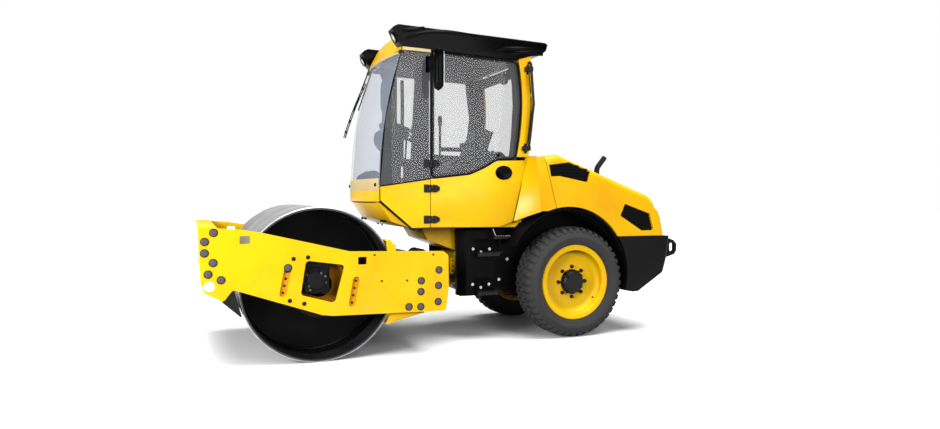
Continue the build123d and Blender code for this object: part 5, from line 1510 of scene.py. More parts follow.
@dataclass
class CabTrim:
    """Pillar covers, dash, levers and side consoles in the cab, and a lamp on its rear cage."""

    def build(self) -> list[Item]:
        """Make the interior pieces."""
        return [self.make_pillars(), self.make_console(), self.make_consoles(), self.make_levers(),
            self.make_cage_lamp()]

    def make_pillars(self) -> Item:
        """Covers inside the front and rear roll-over posts."""
        x = AT.hinge_x
        shape = Shape().prism([(x + 0.002, 1.09), (x + 0.165, 1.26), (x + 0.162, 1.46), (x + 0.118, 2.3),
            (x + 0.118, 2.46), (x + 0.15, 2.54), (x + 0.002, 2.54)], 0.488, 0.562, 0.01)
        bend = [(792, 1.62), (818, 1.84), (836, 2.14), (826, 2.34), (806, 2.46), (758, 2.53)]
        outline = [(x - behind / 1000, z) for behind, z in bend]
        outline += [(x - 0.958, 2.53), (x - 0.99, 2.14), (x - 0.935, 1.62)]
        shape.prism(outline, 0.486, 0.56, 0.006)
        shape.both()
        shape.box((x - 0.96, -0.49, 2.44), (x - 0.9, 0.49, 2.53), 0.01)
        return shape.piece("pillar_covers", BLACK_DULL, Body.FRAME, "interior_trim")

    def make_console(self) -> Item:
        """Steering column, dash pod and a round-section wheel with three spokes."""
        x = AT.hinge_x + 0.12
        shape = Shape().prism([(x - 0.04, 1.068), (x + 0.06, 1.068), (x + 0.12, 1.3), (x + 0.11, 1.62),
            (x + 0.085, 1.85), (x - 0.03, 1.85), (x - 0.01, 1.62), (x + 0.0, 1.3)], -0.085, 0.085, 0.016,
            segments=3)
        shape.prism(rounded([(x - 0.015, 1.835), (x + 0.11, 1.885), (x + 0.15, 1.985), (x + 0.12, 2.01),
            (x + 0.015, 1.955)], 0.02), -0.155, 0.155, 0.012, segments=3)
        shape.prism(rounded([(0.53, 1.8), (0.56, 1.905), (0.61, 1.935), (0.662, 1.9), (0.668, 1.8),
            (0.6, 1.715)], 0.035, 4), -0.135, 0.135, 0.018, segments=3)
        shape.tube([(0.615, 0.0, 1.76), (0.5, 0.0, 1.69), (0.384, 0.0, 1.601)], 0.036, 16)
        wheel = Shape().tube([(u, v, 0.0) for u, v in circle(0.185, 48)], 0.013, 10, closed=True)
        wheel.lathe([(0.0, 0.022), (0.036, 0.02), (0.046, 0.006), (0.04, -0.03), (0.0, -0.034)], ORIGIN,
            Along.Z, 32)
        spoke = Shape().box((0.03, -0.013, -0.008), (0.18, 0.013, 0.004), 0.004)
        wheel.add(ring(spoke, BLACK_PLASTIC, 3, 0.0, ORIGIN, Along.Z, start=math.pi / 6))
        wheel.turned(-29.9, "Y").moved((x - 0.07, 0.0, 1.9))
        shape.add(wheel.mesh())
        shape.tube([(x - 0.076, 0.0, 1.905), (x + 0.03, 0.0, 1.81)], 0.026, 16)
        return shape.piece("steering_column", BLACK_PLASTIC, Body.FRAME, "interior_trim",
            ["steering_console"])

    def make_consoles(self) -> Item:
        """Box beside the seat on each hand, with ribs of switches, and the front shelf."""
        x = AT.hinge_x
        outline = rounded([(x - 0.36, 1.47), (x - 0.3, 1.62), (x - 0.4, 1.7), (x - 0.74, 1.72),
            (x - 0.8, 1.66), (x - 0.8, 1.47)], 0.03)
        shape = Shape().prism(outline, 0.335, 0.47, 0.01)
        shape.prism([(x - 0.04, 1.655), (x - 0.33, 1.64), (x - 0.33, 1.668), (x - 0.04, 1.68)], 0.345,
            0.455, 0.006)
        switch = Shape().box((-0.011, -0.013, 0.0), (0.011, 0.013, 0.012), 0.003)
        shape.add(row(switch, BLACK_GLOSS, 6, (x - 0.45, 0.4, 1.705), (-0.045, 0.0, 0.003)))
        shape.both()
        shelf = rounded([(x + 0.2, 1.3), (x + 0.41, 1.33), (x + 0.405, 1.5), (x + 0.3, 1.56),
            (x + 0.22, 1.5)], 0.03)
        shape.prism(shelf, -0.49, -0.16, 0.012)
        return shape.piece("side_consoles", BLACK_PLASTIC, Body.FRAME, "interior_trim")

    def make_levers(self) -> Item:
        """Travel levers with ball grips, and a column stalk."""
        x = AT.hinge_x
        shape = Shape()
        for side in (1, -1):
            shape.tube([(x - 0.155, 0.4 * side, 1.66), (x - 0.155, 0.4 * side, 1.88),
                (x - 0.155, 0.4 * side, 2.028)], 0.011, 10)
            shape.lathe([(0.0, -0.05), (0.016, -0.044), (0.02, 0.0), (0.017, 0.04), (0.0, 0.046)],
                (x - 0.155, 0.4 * side, 1.985), Along.Z, 20)
        shape.tube([(0.282, -0.48, 2.477), (0.282, -0.47, 2.2), (0.282, -0.48, 1.909)], 0.018, 12)
        for foot, top in (((0.345, 1.64), (0.341, 1.96)), ((0.32, 1.64), (0.3, 1.965)),
                ((0.225, 1.64), (0.19, 1.915))):
            shape.tube([(foot[0], -0.25, foot[1]), (top[0], -0.25, top[1])], 0.009, 10)
            shape.lathe([(0.0, -0.022), (0.014, -0.016), (0.019, 0.0), (0.014, 0.016), (0.0, 0.022)],
                (top[0], -0.25, top[1]), Along.Z, 18)
        shape.box((0.2, -0.33, 1.6), (0.365, -0.18, 1.66), 0.014)
        shape.box((0.225, -0.3, 1.3), (0.33, -0.21, 1.61), 0.012)
        shape.tube([(x + 0.03, 0.06, 1.84), (x + 0.0, 0.2, 1.87)], 0.007, 8)
        shape.tube([(x + 0.03, -0.06, 1.84), (x + 0.0, -0.2, 1.87)], 0.007, 8)
        return shape.piece("control_levers", BLACK_PLASTIC, Body.FRAME, "black_plastic")

    def make_cage_lamp(self) -> Item:
        """Round caged lamp on an arm behind the right rear pillar."""
        hub = (-0.845, -0.45, 2.57)
        shape = Shape().lathe([(0.062, -0.022), (0.066, -0.012), (0.066, 0.012), (0.062, 0.022),
            (0.056, 0.02), (0.058, 0.0), (0.056, -0.02)], hub, Along.X, 40)
        wire = Shape().tube([(0.014, 0.0, 0.02), (0.04, 0.0, 0.026), (0.06, 0.0, 0.018)], 0.0022, 6)
        shape.add(ring(wire, BLACK_PLASTIC, 18, 0.0, hub, Along.X))
        blade = Shape().prism([(0.012, -0.008), (0.05, -0.018), (0.054, 0.012), (0.012, 0.008)], -0.002,
            0.002, 0.0008, Along.Z)
        shape.add(ring(blade, BLACK_PLASTIC, 5, 0.0, hub, Along.X))
        shape.lathe([(0.0, 0.024), (0.016, 0.02), (0.02, -0.02), (0.018, -0.05), (0.0, -0.055)], hub,
            Along.X, 24)
        shape.tube(curved([(-0.835, -0.45, 2.585), (-0.79, -0.47, 2.56), (-0.72, -0.5, 2.54),
            (-0.655, -0.53, 2.535)], 4), 0.007, 10)
        return shape.piece("rear_cage_lamp", BLACK_PLASTIC, Body.FRAME, "black_plastic")


@dataclass
class CabFittings:
    """Mirrors with their glass, wiper and grab handles."""

    def build(self) -> list[Item]:
        """Make the fittings."""
        return [self.make_mirrors(), self.make_mirror_glass(), self.make_wiper(), self.make_handles()]

    def make_mirrors(self) -> Item:
        """Mirror heads with rounded backs, on two clamped arms each."""
        x, y, low, high = AT.hinge_x + 0.019, 0.845, 2.182, 2.541
        part = bmesh.new()
        count, levels = 28, 18
        rings = []
        for k in range(levels + 1):
            z = low + (high - low) * k / levels
            fade = max(0.0, 1 - abs(2 * k / levels - 1) ** 5) ** 0.5 * 0.94 + 0.05
            points = []
            for i in range(count):
                a = math.tau * i / count
                wide = 0.042 if math.cos(a) > 0 else 0.04
                points.append(part.verts.new(
                    (x + wide * fade * math.copysign(abs(math.cos(a)) ** 0.7, math.cos(a)),
                    y + 0.054 * fade * math.copysign(abs(math.sin(a)) ** 0.7, math.sin(a)), z)))
            rings.append(points)
        skin(part, rings)
        part.faces.new(list(reversed(rings[0])))
        part.faces.new(rings[-1])
        shape = Shape().merge(part)
        for z in (2.395, 2.49):
            shape.tube(curved([(x + 0.01, 0.592, z), (x + 0.012, 0.7, z + 0.004), (x + 0.004, 0.8, z)], 4),
                0.01, 12)
        shape.box((x - 0.03, 0.7, 2.36), (x + 0.022, 0.752, 2.53), 0.01)
        shape.box((x - 0.022, 0.592, 2.372), (x + 0.03, 0.612, 2.512), 0.005)
        return shape.both().piece("mirror_heads", BLACK_GLOSS, Body.FRAME, "black_gloss", ["mirrors"])

    def make_mirror_glass(self) -> Item:
        """Silvered glass in the back of each mirror head."""
        x = AT.hinge_x
        outline = rounded(rect(0.818, 2.215, 0.872, 2.508), 0.02)
        shape = Shape().prism(outline, x - 0.0225, x - 0.0195, 0.001, Along.X)
        return shape.both().piece("mirror_glass", SILVER, Body.FRAME, "chrome")

    def make_wiper(self) -> Item:
        """Wiper with twin arms, its blade's yoke and its motor cover on the header."""
        top = Vector((0.646, -0.3, 2.551))
        end = Vector((0.909, -0.3, 1.866))
        shape = Shape()
        for shift in (0.0, 0.045):
            start = top + Vector((0.012 - shift * 0.5, shift, 0.0))
            stop = top.lerp(end, 0.62) + Vector((0.01 - shift * 0.9, shift * 0.4, 0.0))
            shape.tube([tuple(start), tuple(start.lerp(stop, 0.5)), tuple(stop)], 0.006, 8)
        blade_top, blade_end = top.lerp(end, 0.22), end
        bow = [tuple(blade_top.lerp(blade_end, t) + Vector((0.012 * math.sin(math.pi * t), -0.03, 0.0)))
            for t in (0.0, 0.2, 0.4, 0.6, 0.8, 1.0)]
        shape.tube(bow, 0.005, 8)
        rubber = [tuple(Vector(p) - Vector((0.014, 0.0, 0.004))) for p in bow]
        shape.sweep(rubber, rect(-0.003, -0.005, 0.003, 0.005))
        clip = Shape().box((-0.01, -0.006, -0.014), (0.006, 0.006, 0.014), 0.002)
        shape.add(row(clip, BLACK, 5, tuple(blade_top.lerp(blade_end, 0.1) + Vector((0.004, -0.03, 0.0))),
            tuple((blade_end - blade_top) * 0.2)))
        shape.lathe([(0.0, 0.045), (0.018, 0.043), (0.024, 0.034), (0.026, 0.0), (0.0, 0.0)],
            (0.6, -0.28, 2.56), Along.X, 24)
        shape.box((0.49, -0.33, 2.64), (0.56, -0.23, 2.7), 0.014)
        shape.tube([(0.53, -0.285, 2.68), (0.6, -0.285, 2.59), (0.648, -0.3, 2.549)], 0.011, 12)
        shape.tube(curved([(0.56, -0.23, 2.66), (0.53, -0.18, 2.675), (0.5, -0.16, 2.69)], 4), 0.004, 8)
        return shape.piece("windscreen_wiper", BLACK, Body.FRAME, "black_paint")

    def make_handles(self) -> Item:
        """Second, thinner bar beside each grab handle, with the clamps that hold both."""
        x = AT.hinge_x
        shape = Shape()
        line = [(x - 0.918, 0.632, 2.5), (x - 0.93, 0.64, 2.4), (x - 0.948, 0.645, 2.15),
            (x - 0.928, 0.642, 1.9), (x - 0.905, 0.632, 1.735)]
        shape.tube(curved(line, 5), 0.006, 10)
        for px, pz in ((x - 0.935, 2.466), (x - 0.912, 1.745)):
            shape.box((px - 0.034, 0.598, pz - 0.022), (px + 0.034, 0.652, pz + 0.022), 0.006)
            shape.box((px - 0.012, 0.596, pz - 0.045), (px + 0.012, 0.606, pz + 0.045), 0.003)
        return shape.both().piece("handle_clamps", BLACK, Body.FRAME, "black_paint")


# ------------------------------------------------------------------- body and frame
@dataclass
class EngineBody:
    """Hood, cowl and counterweight with rounded edges, louvres, a pull handle and lamps."""

    inlets: list[list[Flat]] = field(default_factory=lambda: [[(-298, 1592), (-82, 1622), (143, 1547),
        (113, 1437), (-191, 1492), (-276, 1486)], [(523, 1239), (811, 1143), (858, 982), (718, 980),
        (473, 1125)]])
    slat_drop: float = 0.03

    def build(self) -> list[Item]:
        """Make the body's pieces."""
        return [*self.make_shells(), self.make_seams(), self.make_louvres(), self.make_tail_grille(),
            self.make_pull(), *self.make_tail_lamps(), self.make_arch_lips()]

    def make_shells(self) -> list[Item]:
        """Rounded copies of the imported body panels."""
        rows = [("hood", 0.005, YELLOW_SHELL, Body.HOOD, "yellow_shell"), ("rear_cowl", 0.005, YELLOW_SHELL,
            Body.FRAME, "yellow_shell"), ("counterweight", 0.008, CAST_BLACK, Body.FRAME, "cast_black")]
        made = []
        for node, width, finish, body, slot in rows:
            shape = softened(node, width, 3)
            if node == "hood":
                cutter = Shape().prism([AT.from_axle(*p) for p in self.inlets[0]], 0.7365, 0.8)
                cutter.both()
                shape = Shape().add(with_holes(shape.mesh(), cutter.mesh()))
            made.append(shape.piece(f"{node}_moulded", finish, body, slot, [node]))
        return made

    def make_seams(self) -> Item:
        """Sealing strips in the joints between cab, cowl and hood."""
        flat = rect(-0.003, -0.004, 0.003, 0.0012)
        shape = Shape().sweep([(-0.592, 0.6035, 1.633), (-0.527, 0.6035, 1.392), (-0.467, 0.6035, 1.154),
            (-0.44, 0.6035, 1.06)], flat, hold=SIDEWAYS)
        return shape.both().piece("body_seam_strips", BLACK_PLASTIC, Body.FRAME, "black_plastic")

    def make_louvres(self) -> Item:
        """Slats across each inlet, behind its opening."""
        shape = Shape()
        for inlet in self.inlets:
            points = [AT.from_axle(*p) for p in inlet]
            low = min(z for _, z in points)
            high = max(z for _, z in points)
            count = int((high - low) / self.slat_drop)
            for k in range(1, count):
                z = low + k * self.slat_drop
                spans = self.crossings(points, z)
                left, right = spans[0] + 0.004, spans[-1] - 0.004
                if right - left >= 0.03:
                    shape.prism([(0.7355, z - 0.01), (0.7375, z - 0.012), (0.75, z + 0.006),
                        (0.7485, z + 0.008)], left, right, along=Along.X)
        return shape.both().piece("inlet_louvres", BLACK_PLASTIC, Body.HOOD, "black_plastic")

    @staticmethod
    def crossings(points: Sequence[Flat], z: float) -> list[float]:
        """Where a level line crosses an outline."""
        found = []
        for (x_a, z_a), (x_b, z_b) in zip(points, [*points[1:], points[0]]):
            if (z_a - z) * (z_b - z) < 0:
                found.append(x_a + (x_b - x_a) * (z - z_a) / (z_b - z_a))
        return sorted(found)

    def make_tail_grille(self) -> Item:
        """Cooler grille in the hood's back face: a frame with a row of slats."""
        section = [(-0.01, -0.004), (0.002, -0.008), (0.004, -0.004), (-0.008, 0.002)]
        upper = Shape().prism(section, -0.4, 0.4, 0.0012)
        lower = Shape().prism(section, -0.52, 0.52, 0.0012)
        shape = Shape().add(row(upper, BLACK_PLASTIC, 3, (-1.862, 0.0, 1.226), (-0.0107, 0.0, 0.032)))
        for y in (-0.42, 0.42):
            shape.tube([(-1.85, y, 1.205), (-1.87, y, 1.292)], 0.01, 8)
        shape.add(row(lower, BLACK_PLASTIC, 6, (-1.992, 0.0, 0.962), (0.0062, 0.0, 0.024)))
        return shape.piece("tail_grille", BLACK_PLASTIC, Body.HOOD, "black_plastic")

    def make_pull(self) -> Item:
        """Pull handle in the hood's back face."""
        shape = Shape()
        shape.tube(curved([(-1.945, -0.09, 1.125), (-1.975, -0.085, 1.128), (-1.98, 0.0, 1.13),
            (-1.975, 0.085, 1.128), (-1.945, 0.09, 1.125)], 5), 0.009, 10)
        return shape.piece("hood_latches", BLACK_PLASTIC, Body.HOOD, "black_plastic")

    def make_tail_lamps(self) -> list[Item]:
        """Tail lamps let into the counterweight: housings, red and amber lenses."""
        x = -2.09
        housing = Shape().box((x - 0.016, 0.52, 0.79), (x + 0.03, 0.625, 0.88), 0.008)
        housing.both()
        made = [housing.piece("tail_lamp_housings", BLACK_PLASTIC, Body.FRAME, "black_plastic")]
        for name, finish, near, far in (("red", RED_LENS, 0.53, 0.572),
                ("amber", AMBER_LENS, 0.578, 0.615)):
            lens = Shape().prism(rounded(rect(near, 0.8, far, 0.87), 0.008), x - 0.021, x - 0.012, 0.002,
                Along.X)
            lens.both()
            made.append(lens.piece(f"tail_lamp_{name}", finish, Body.FRAME, "lamp_lens"))
        return made

    def make_arch_lips(self) -> Item:
        """Ribs pressed into each wheel arch's liner."""
        shape = Shape()
        centre = (-0.945, 0.571)
        for y in (0.47, 0.56, 0.65):
            path = [(u, y, v) for u, v in arc(centre, 0.617, 35, 155, 24)]
            shape.sweep(path, [(-0.012, -0.001), (-0.006, -0.006), (0.006, -0.006), (0.012, -0.001),
                (0.0, 0.001)], hold=SIDEWAYS)
        return shape.both().piece("arch_liner_ribs", BLACK_PLASTIC, Body.FRAME, "black_plastic")


@dataclass
class Access:
    """Black side boxes with their bolts, the serrated step treads and a guard behind the door's foot."""

    bolts: list[Flat] = field(default_factory=lambda: [(-0.102, 0.826), (-0.181, 0.797), (-0.266, 0.822),
        (-0.445, 0.724), (-0.098, 0.503), (-0.179, 0.472), (-0.26, 0.499), (-0.362, 0.538)])
    treads: list[tuple[float, float, float]] = field(default_factory=lambda: [(-0.13, 0.436, 0.555),
        (-0.13, 0.79, 0.555), (-0.27, 0.94, 0.585)])

    def build(self) -> list[Item]:
        """Make the pieces of the access side."""
        return [self.make_boxes(), self.make_bolts(), self.make_teeth(), self.make_rail()]

    def make_boxes(self) -> Item:
        """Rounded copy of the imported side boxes."""
        return softened("side_tanks", 0.006, 3).piece("side_boxes_moulded", BLACK_PLASTIC, Body.FRAME,
            "black_plastic", ["side_tanks"])

    def make_bolts(self) -> Item:
        """Plated bolts in the boxes' faces."""
        shape = Shape().add(spots(hex_bolt(0.02, 0.009, 0.014), ZINC,
            [(x, 0.48, z) for x, z in self.bolts]))
        return shape.both().piece("side_box_bolts", ZINC, Body.FRAME, "chrome")

    def make_teeth(self) -> Item:
        """Upturned teeth along both edges of each tread, clear of the wheel."""
        shape = Shape()
        for front, top, out in self.treads:
            for y in (0.487, out - 0.006):
                tooth = Shape().prism([(-0.0075, -0.002), (0.0075, -0.002), (0.004, 0.01), (-0.004, 0.01)],
                    -0.002, 0.002, 0.0006)
                count = int((front + 0.385) / 0.022)
                shape.add(row(tooth, BLACK, max(3, count), (front - 0.012, y, top), (-0.022, 0.0, 0.0)))
        return shape.both().piece("tread_teeth", BLACK, Body.FRAME, "black_paint")

    def make_rail(self) -> Item:
        """Folded guard below the cowl, behind the door's foot."""
        shape = Shape().tube([(-0.265, 0.56, 1.012), (-0.285, 0.572, 0.945), (-0.43, 0.572, 0.944)], 0.006,
            8)
        return shape.both().piece("step_guard", ZINC, Body.FRAME, "chrome")


@dataclass
class Articulation:
    """Hoses, their bracket and the lock bar round the steering joint."""

    def build(self) -> list[Item]:
        """Make the joint's dressings."""
        return [self.make_bracket(), self.make_lock(), *self.make_hoses()]

    def make_bracket(self) -> Item:
        """Hose bracket on the front wall of the rear frame, its pegs and its gusset."""
        plate = Shape().prism(rounded([(-0.104, 0.583), (0.04, 0.583), (0.054, 0.6), (0.054, 0.734),
            (-0.02, 0.745), (-0.104, 0.745)], 0.01), 0.296, 0.304, 0.002)
        cutter = Shape()
        for k in range(3):
            z = 0.615 + k * 0.045
            for x in (-0.004, 0.03):
                cutter.lathe(rect(0.0, -0.02, 0.011, 0.02), (x, 0.3, z), count=16)
        shape = Shape().add(with_holes(plate.mesh(), cutter.mesh()))
        for z in (0.69, 0.545):
            shape.tube([(0.006, 0.325, z), (-0.104, 0.325, z)], 0.011, 12)
        shape.prism([(-0.104, 0.373), (-0.04, 0.373), (0.024, 0.475), (0.024, 0.491), (-0.104, 0.491)],
            0.292, 0.304, 0.002)
        return shape.piece("hose_bracket", YELLOW, Body.FRAME, "yellow_paint")

    def make_lock(self) -> Item:
        """Steering lock bar, stowed upright on the bracket's pegs."""
        x, y = -0.011, 0.325
        shape = Shape().tube([(x, y, 0.505), (x, y, 0.715)], 0.011, 14)
        for z in (0.505, 0.715):
            shape.lathe(rect(0.0, 0.008, 0.018, -0.008), (x, y, z), Along.Z, 18)
        return shape.piece("steering_lock_bar", ZINC, Body.FRAME, "chrome")

    def make_hoses(self) -> list[Item]:
        """Three hoses from the drum frame's beam to the yoke."""
        made = []
        for k, y in enumerate((-0.09, 0.0, 0.09)):
            line = curved([(0.33, y, 0.775), (0.29, y * 1.15, 0.8), (0.24, y * 1.2, 0.79),
                (0.215, y * 1.1, 0.735), (0.212, y, 0.672)], 6)
            mesh = Shape().tube(line, 0.012, 12, hold=SIDEWAYS).mesh()
            mesh.name = f"joint_hose_{k + 1}"
            mesh.materials.append(HOSE.make())
            hose = placed(mesh.name, mesh)
            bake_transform(hose)
            made.append(hose)
        return made


@dataclass
class Engine:
    """Diesel engine, its cooler and its ancillaries, seen when the hood is lifted."""

    front: float = -0.86
    back: float = -1.38

    def build(self) -> list[Item]:
        """Make the engine's pieces."""
        return [self.make_block(), self.make_cooler(), self.make_ancillaries()]

    def make_block(self) -> Item:
        """Crankcase with its webs, sump, cylinder head and ribbed cover."""
        front, back = self.front, self.back
        shape = Shape().prism([(back + 0.04, 0.7), (front - 0.04, 0.7), (front - 0.01, 0.8), (front, 1.09),
            (back, 1.09), (back + 0.01, 0.8)], -0.2, 0.2, 0.01)
        shape.box((back + 0.08, -0.15, 0.662), (front - 0.08, 0.15, 0.705), 0.012)
        shape.box((back + 0.02, -0.17, 1.088), (front - 0.02, 0.17, 1.18), 0.008)
        shape.box((back + 0.05, -0.105, 1.178), (front - 0.05, 0.105, 1.262), 0.02, 4)
        for y in (0.2, -0.2):
            web = Shape().prism([(-0.008, 0.0), (0.008, 0.0), (0.005, 0.018), (-0.005, 0.018)] if y > 0
                else [(-0.008, 0.0), (-0.005, -0.018), (0.005, -0.018), (0.008, 0.0)], 0.76, 1.06, 0.002,
                Along.Z)
            shape.add(row(web, ALLOY, 7, (back + 0.07, y, 0.0), (0.063, 0.0, 0.0)))
        rib = Shape().prism([(-0.006, 0.0), (0.006, 0.0), (0.004, 0.01), (-0.004, 0.01)], -0.085, 0.085,
            0.001)
        shape.add(row(rib, ALLOY, 10, (back + 0.09, 0.0, 1.26), (0.038, 0.0, 0.0)))
        bolts = [(x, y, 1.182) for y in (0.145, -0.145) for x in (-1.3, -1.2, -1.1, -1.0, -0.93)]
        shape.add(spots(hex_bolt(0.02, 0.012, 0.015), ZINC, bolts, (math.pi / 2, 0.0, 0.0), seed=11))
        return shape.piece("engine_castings", ALLOY, Body.FRAME, "engine_alloy", ["engine_block"])

    def make_cooler(self) -> Item:
        """Cooler with its fins, fan ring and fan."""
        shape = Shape()
        for y in (-0.275, 0.275):
            shape.box((-1.525, y - 0.014, 0.7), (-1.47, y + 0.014, 1.275), 0.004)
        for z in (0.715, 1.26):
            shape.box((-1.525, -0.285, z - 0.018), (-1.468, 0.285, z + 0.018), 0.006)
        shape.box((-1.508, -0.262, 0.733), (-1.49, 0.262, 1.242), 0.001)
        fin = Shape().prism(rect(-0.008, -0.001, 0.008, 0.001), -0.262, 0.262)
        shape.add(row(fin, BLACK_DULL, 42, (-1.484, 0.0, 0.742), (0.0, 0.0, 0.012)))
        hub = (-1.44, 0.0, 0.985)
        shape.lathe([(0.235, -0.03), (0.25, -0.032), (0.246, 0.012), (0.238, 0.014)], hub, Along.X, 64)
        blade = Shape().prism([(0.04, -0.03), (0.225, -0.055), (0.228, 0.02), (0.04, 0.03)], -0.003, 0.003,
            0.001, Along.Z)
        blade.turned(24.0, "X")
        shape.add(ring(blade, BLACK_PLASTIC, 7, 0.0, hub, Along.X))
        shape.lathe([(0.0, -0.02), (0.045, -0.016), (0.045, 0.03), (0.022, 0.05), (0.0, 0.06)], hub,
            Along.X, 32)
        return shape.piece("cooler_and_fan", BLACK_PLASTIC, Body.FRAME, "black_plastic")

    def make_ancillaries(self) -> Item:
        """Air cleaner, alternator, filters, belt wheels and pipes."""
        shape = Shape().lathe([(0.0, -0.17), (0.056, -0.168), (0.062, -0.15), (0.062, -0.06),
            (0.066, -0.056), (0.066, -0.04), (0.062, -0.036), (0.062, 0.14), (0.05, 0.165), (0.0, 0.168)],
            (-1.11, 0.225, 1.195), Along.X, 40)
        shape.lathe([(0.0, -0.06), (0.04, -0.058), (0.058, -0.04), (0.06, 0.04), (0.045, 0.06),
            (0.0, 0.062)], (-1.29, -0.228, 1.06), Along.X, 32)
        for x in (-1.09, -0.985):
            shape.lathe([(0.0, -0.075), (0.036, -0.07), (0.042, -0.05), (0.042, 0.05), (0.036, 0.062),
                (0.024, 0.075), (0.0, 0.075)], (x, -0.243, 0.85), Along.Z, 28)
        for y, z, r in ((0.0, 0.8, 0.085), (-0.19, 1.06, 0.034), (0.13, 0.96, 0.045)):
            shape.lathe([(0.0, 0.008), (r * 0.4, 0.008), (r * 0.9, 0.004), (r, 0.01), (r, -0.012),
                (0.0, -0.012)], (-1.392, y, z), Along.X, 32)
        shape.tube(curved([(-1.255, 0.225, 1.195), (-1.315, 0.225, 1.195), (-1.345, 0.18, 1.17),
            (-1.33, 0.12, 1.14)], 5), 0.03, 16)
        shape.tube(curved([(-0.88, -0.12, 1.14), (-0.87, -0.22, 1.1), (-1.0, -0.262, 1.0),
            (-1.2, -0.268, 0.93), (-1.4, -0.255, 0.9), (-1.465, -0.24, 0.89)], 5), 0.02, 12)
        return shape.piece("engine_ancillaries", BLACK_PLASTIC, Body.FRAME, "black_plastic")


# ---------------------------------------------------------------------------- seat
@dataclass
class Cushion:
    """A foam pad under fabric, swollen by simulation and then sewn down its channels."""

    name: str
    half: Point
    centre: Point
    lean_deg: float
    channels: list[tuple[int, float]]
    flat_axis: int
    cap: float = 0.024
    voxel: float = 0.007
    channel_depth: float = 0.011
    channel_width: float = 0.009

    def build(self) -> Item:
        """Make the pad, in place.

        Returns:
            The finished piece.
        """
        x, y, z = self.half
        node = Shape().box((-x, -y, -z), (x, y, z), min(self.half) * 0.5, 4).piece(self.name, FABRIC,
            Body.FRAME, "seat_fabric", ["seat"])
        remesh = node.modifiers.new("even_net", "REMESH")
        remesh.mode = "VOXEL"
        remesh.voxel_size = self.voxel
        self.bake(node)
        self.swell(node)
        self.bake(node, "SUBSURF")
        self.sew(node)
        turn = Matrix.Rotation(math.radians(self.lean_deg), 4, "Y")
        node.data.transform(Matrix.Translation(self.centre) @ turn)
        for face in node.data.polygons:
            face.use_smooth = True
        return node

    @staticmethod
    def bake(node: Item, extra: str = "") -> None:
        """Turn the node's modifiers into plain mesh.

        Args:
            node: the pad.
            extra: a modifier to add first, with its own settings.
        """
        if extra:
            node.modifiers.new("finer", extra)
        mesh = evaluated(node)
        node.modifiers.clear()
        old, name = node.data, node.data.name
        node.data = mesh
        bpy.data.meshes.remove(old)
        mesh.name = name

    def swell(self, node: Item, pressure: float = 4.0, frames: int = 20) -> None:
        """Blow the fabric out with a cloth simulation, and hold it flat where it rests."""
        rest = [vert.co.copy() for vert in node.data.vertices]
        cloth = node.modifiers.new("swell", "CLOTH")
        cloth.settings.use_pressure = True
        cloth.settings.uniform_pressure_force = pressure
        cloth.settings.effector_weights.gravity = 0.0
        cloth.point_cache.frame_start, cloth.point_cache.frame_end = 1, frames
        for number in range(1, frames + 1):
            bpy.context.scene.frame_set(number)
        graph = bpy.context.evaluated_depsgraph_get()
        blown = [vert.co.copy() for vert in node.evaluated_get(graph).data.vertices]
        node.modifiers.clear()
        floor = -self.half[self.flat_axis]
        for vert, was, now in zip(node.data.vertices, rest, blown):
            step = now - was
            if step.length > self.cap:
                step *= self.cap / step.length
            vert.co = was + step
            vert.co[self.flat_axis] = max(vert.co[self.flat_axis], floor)
        bpy.context.scene.frame_set(1)

    def sew(self, node: Item) -> None:
        """Press the sewn channels into the pad's face."""
        face = self.flat_axis
        for vert in node.data.vertices:
            if vert.co[face] < 0:
                continue
            pull = sum(math.exp(-((vert.co[axis] - at) / self.channel_width) ** 2)
                for axis, at in self.channels)
            vert.co[face] -= self.channel_depth * min(1.0, pull)


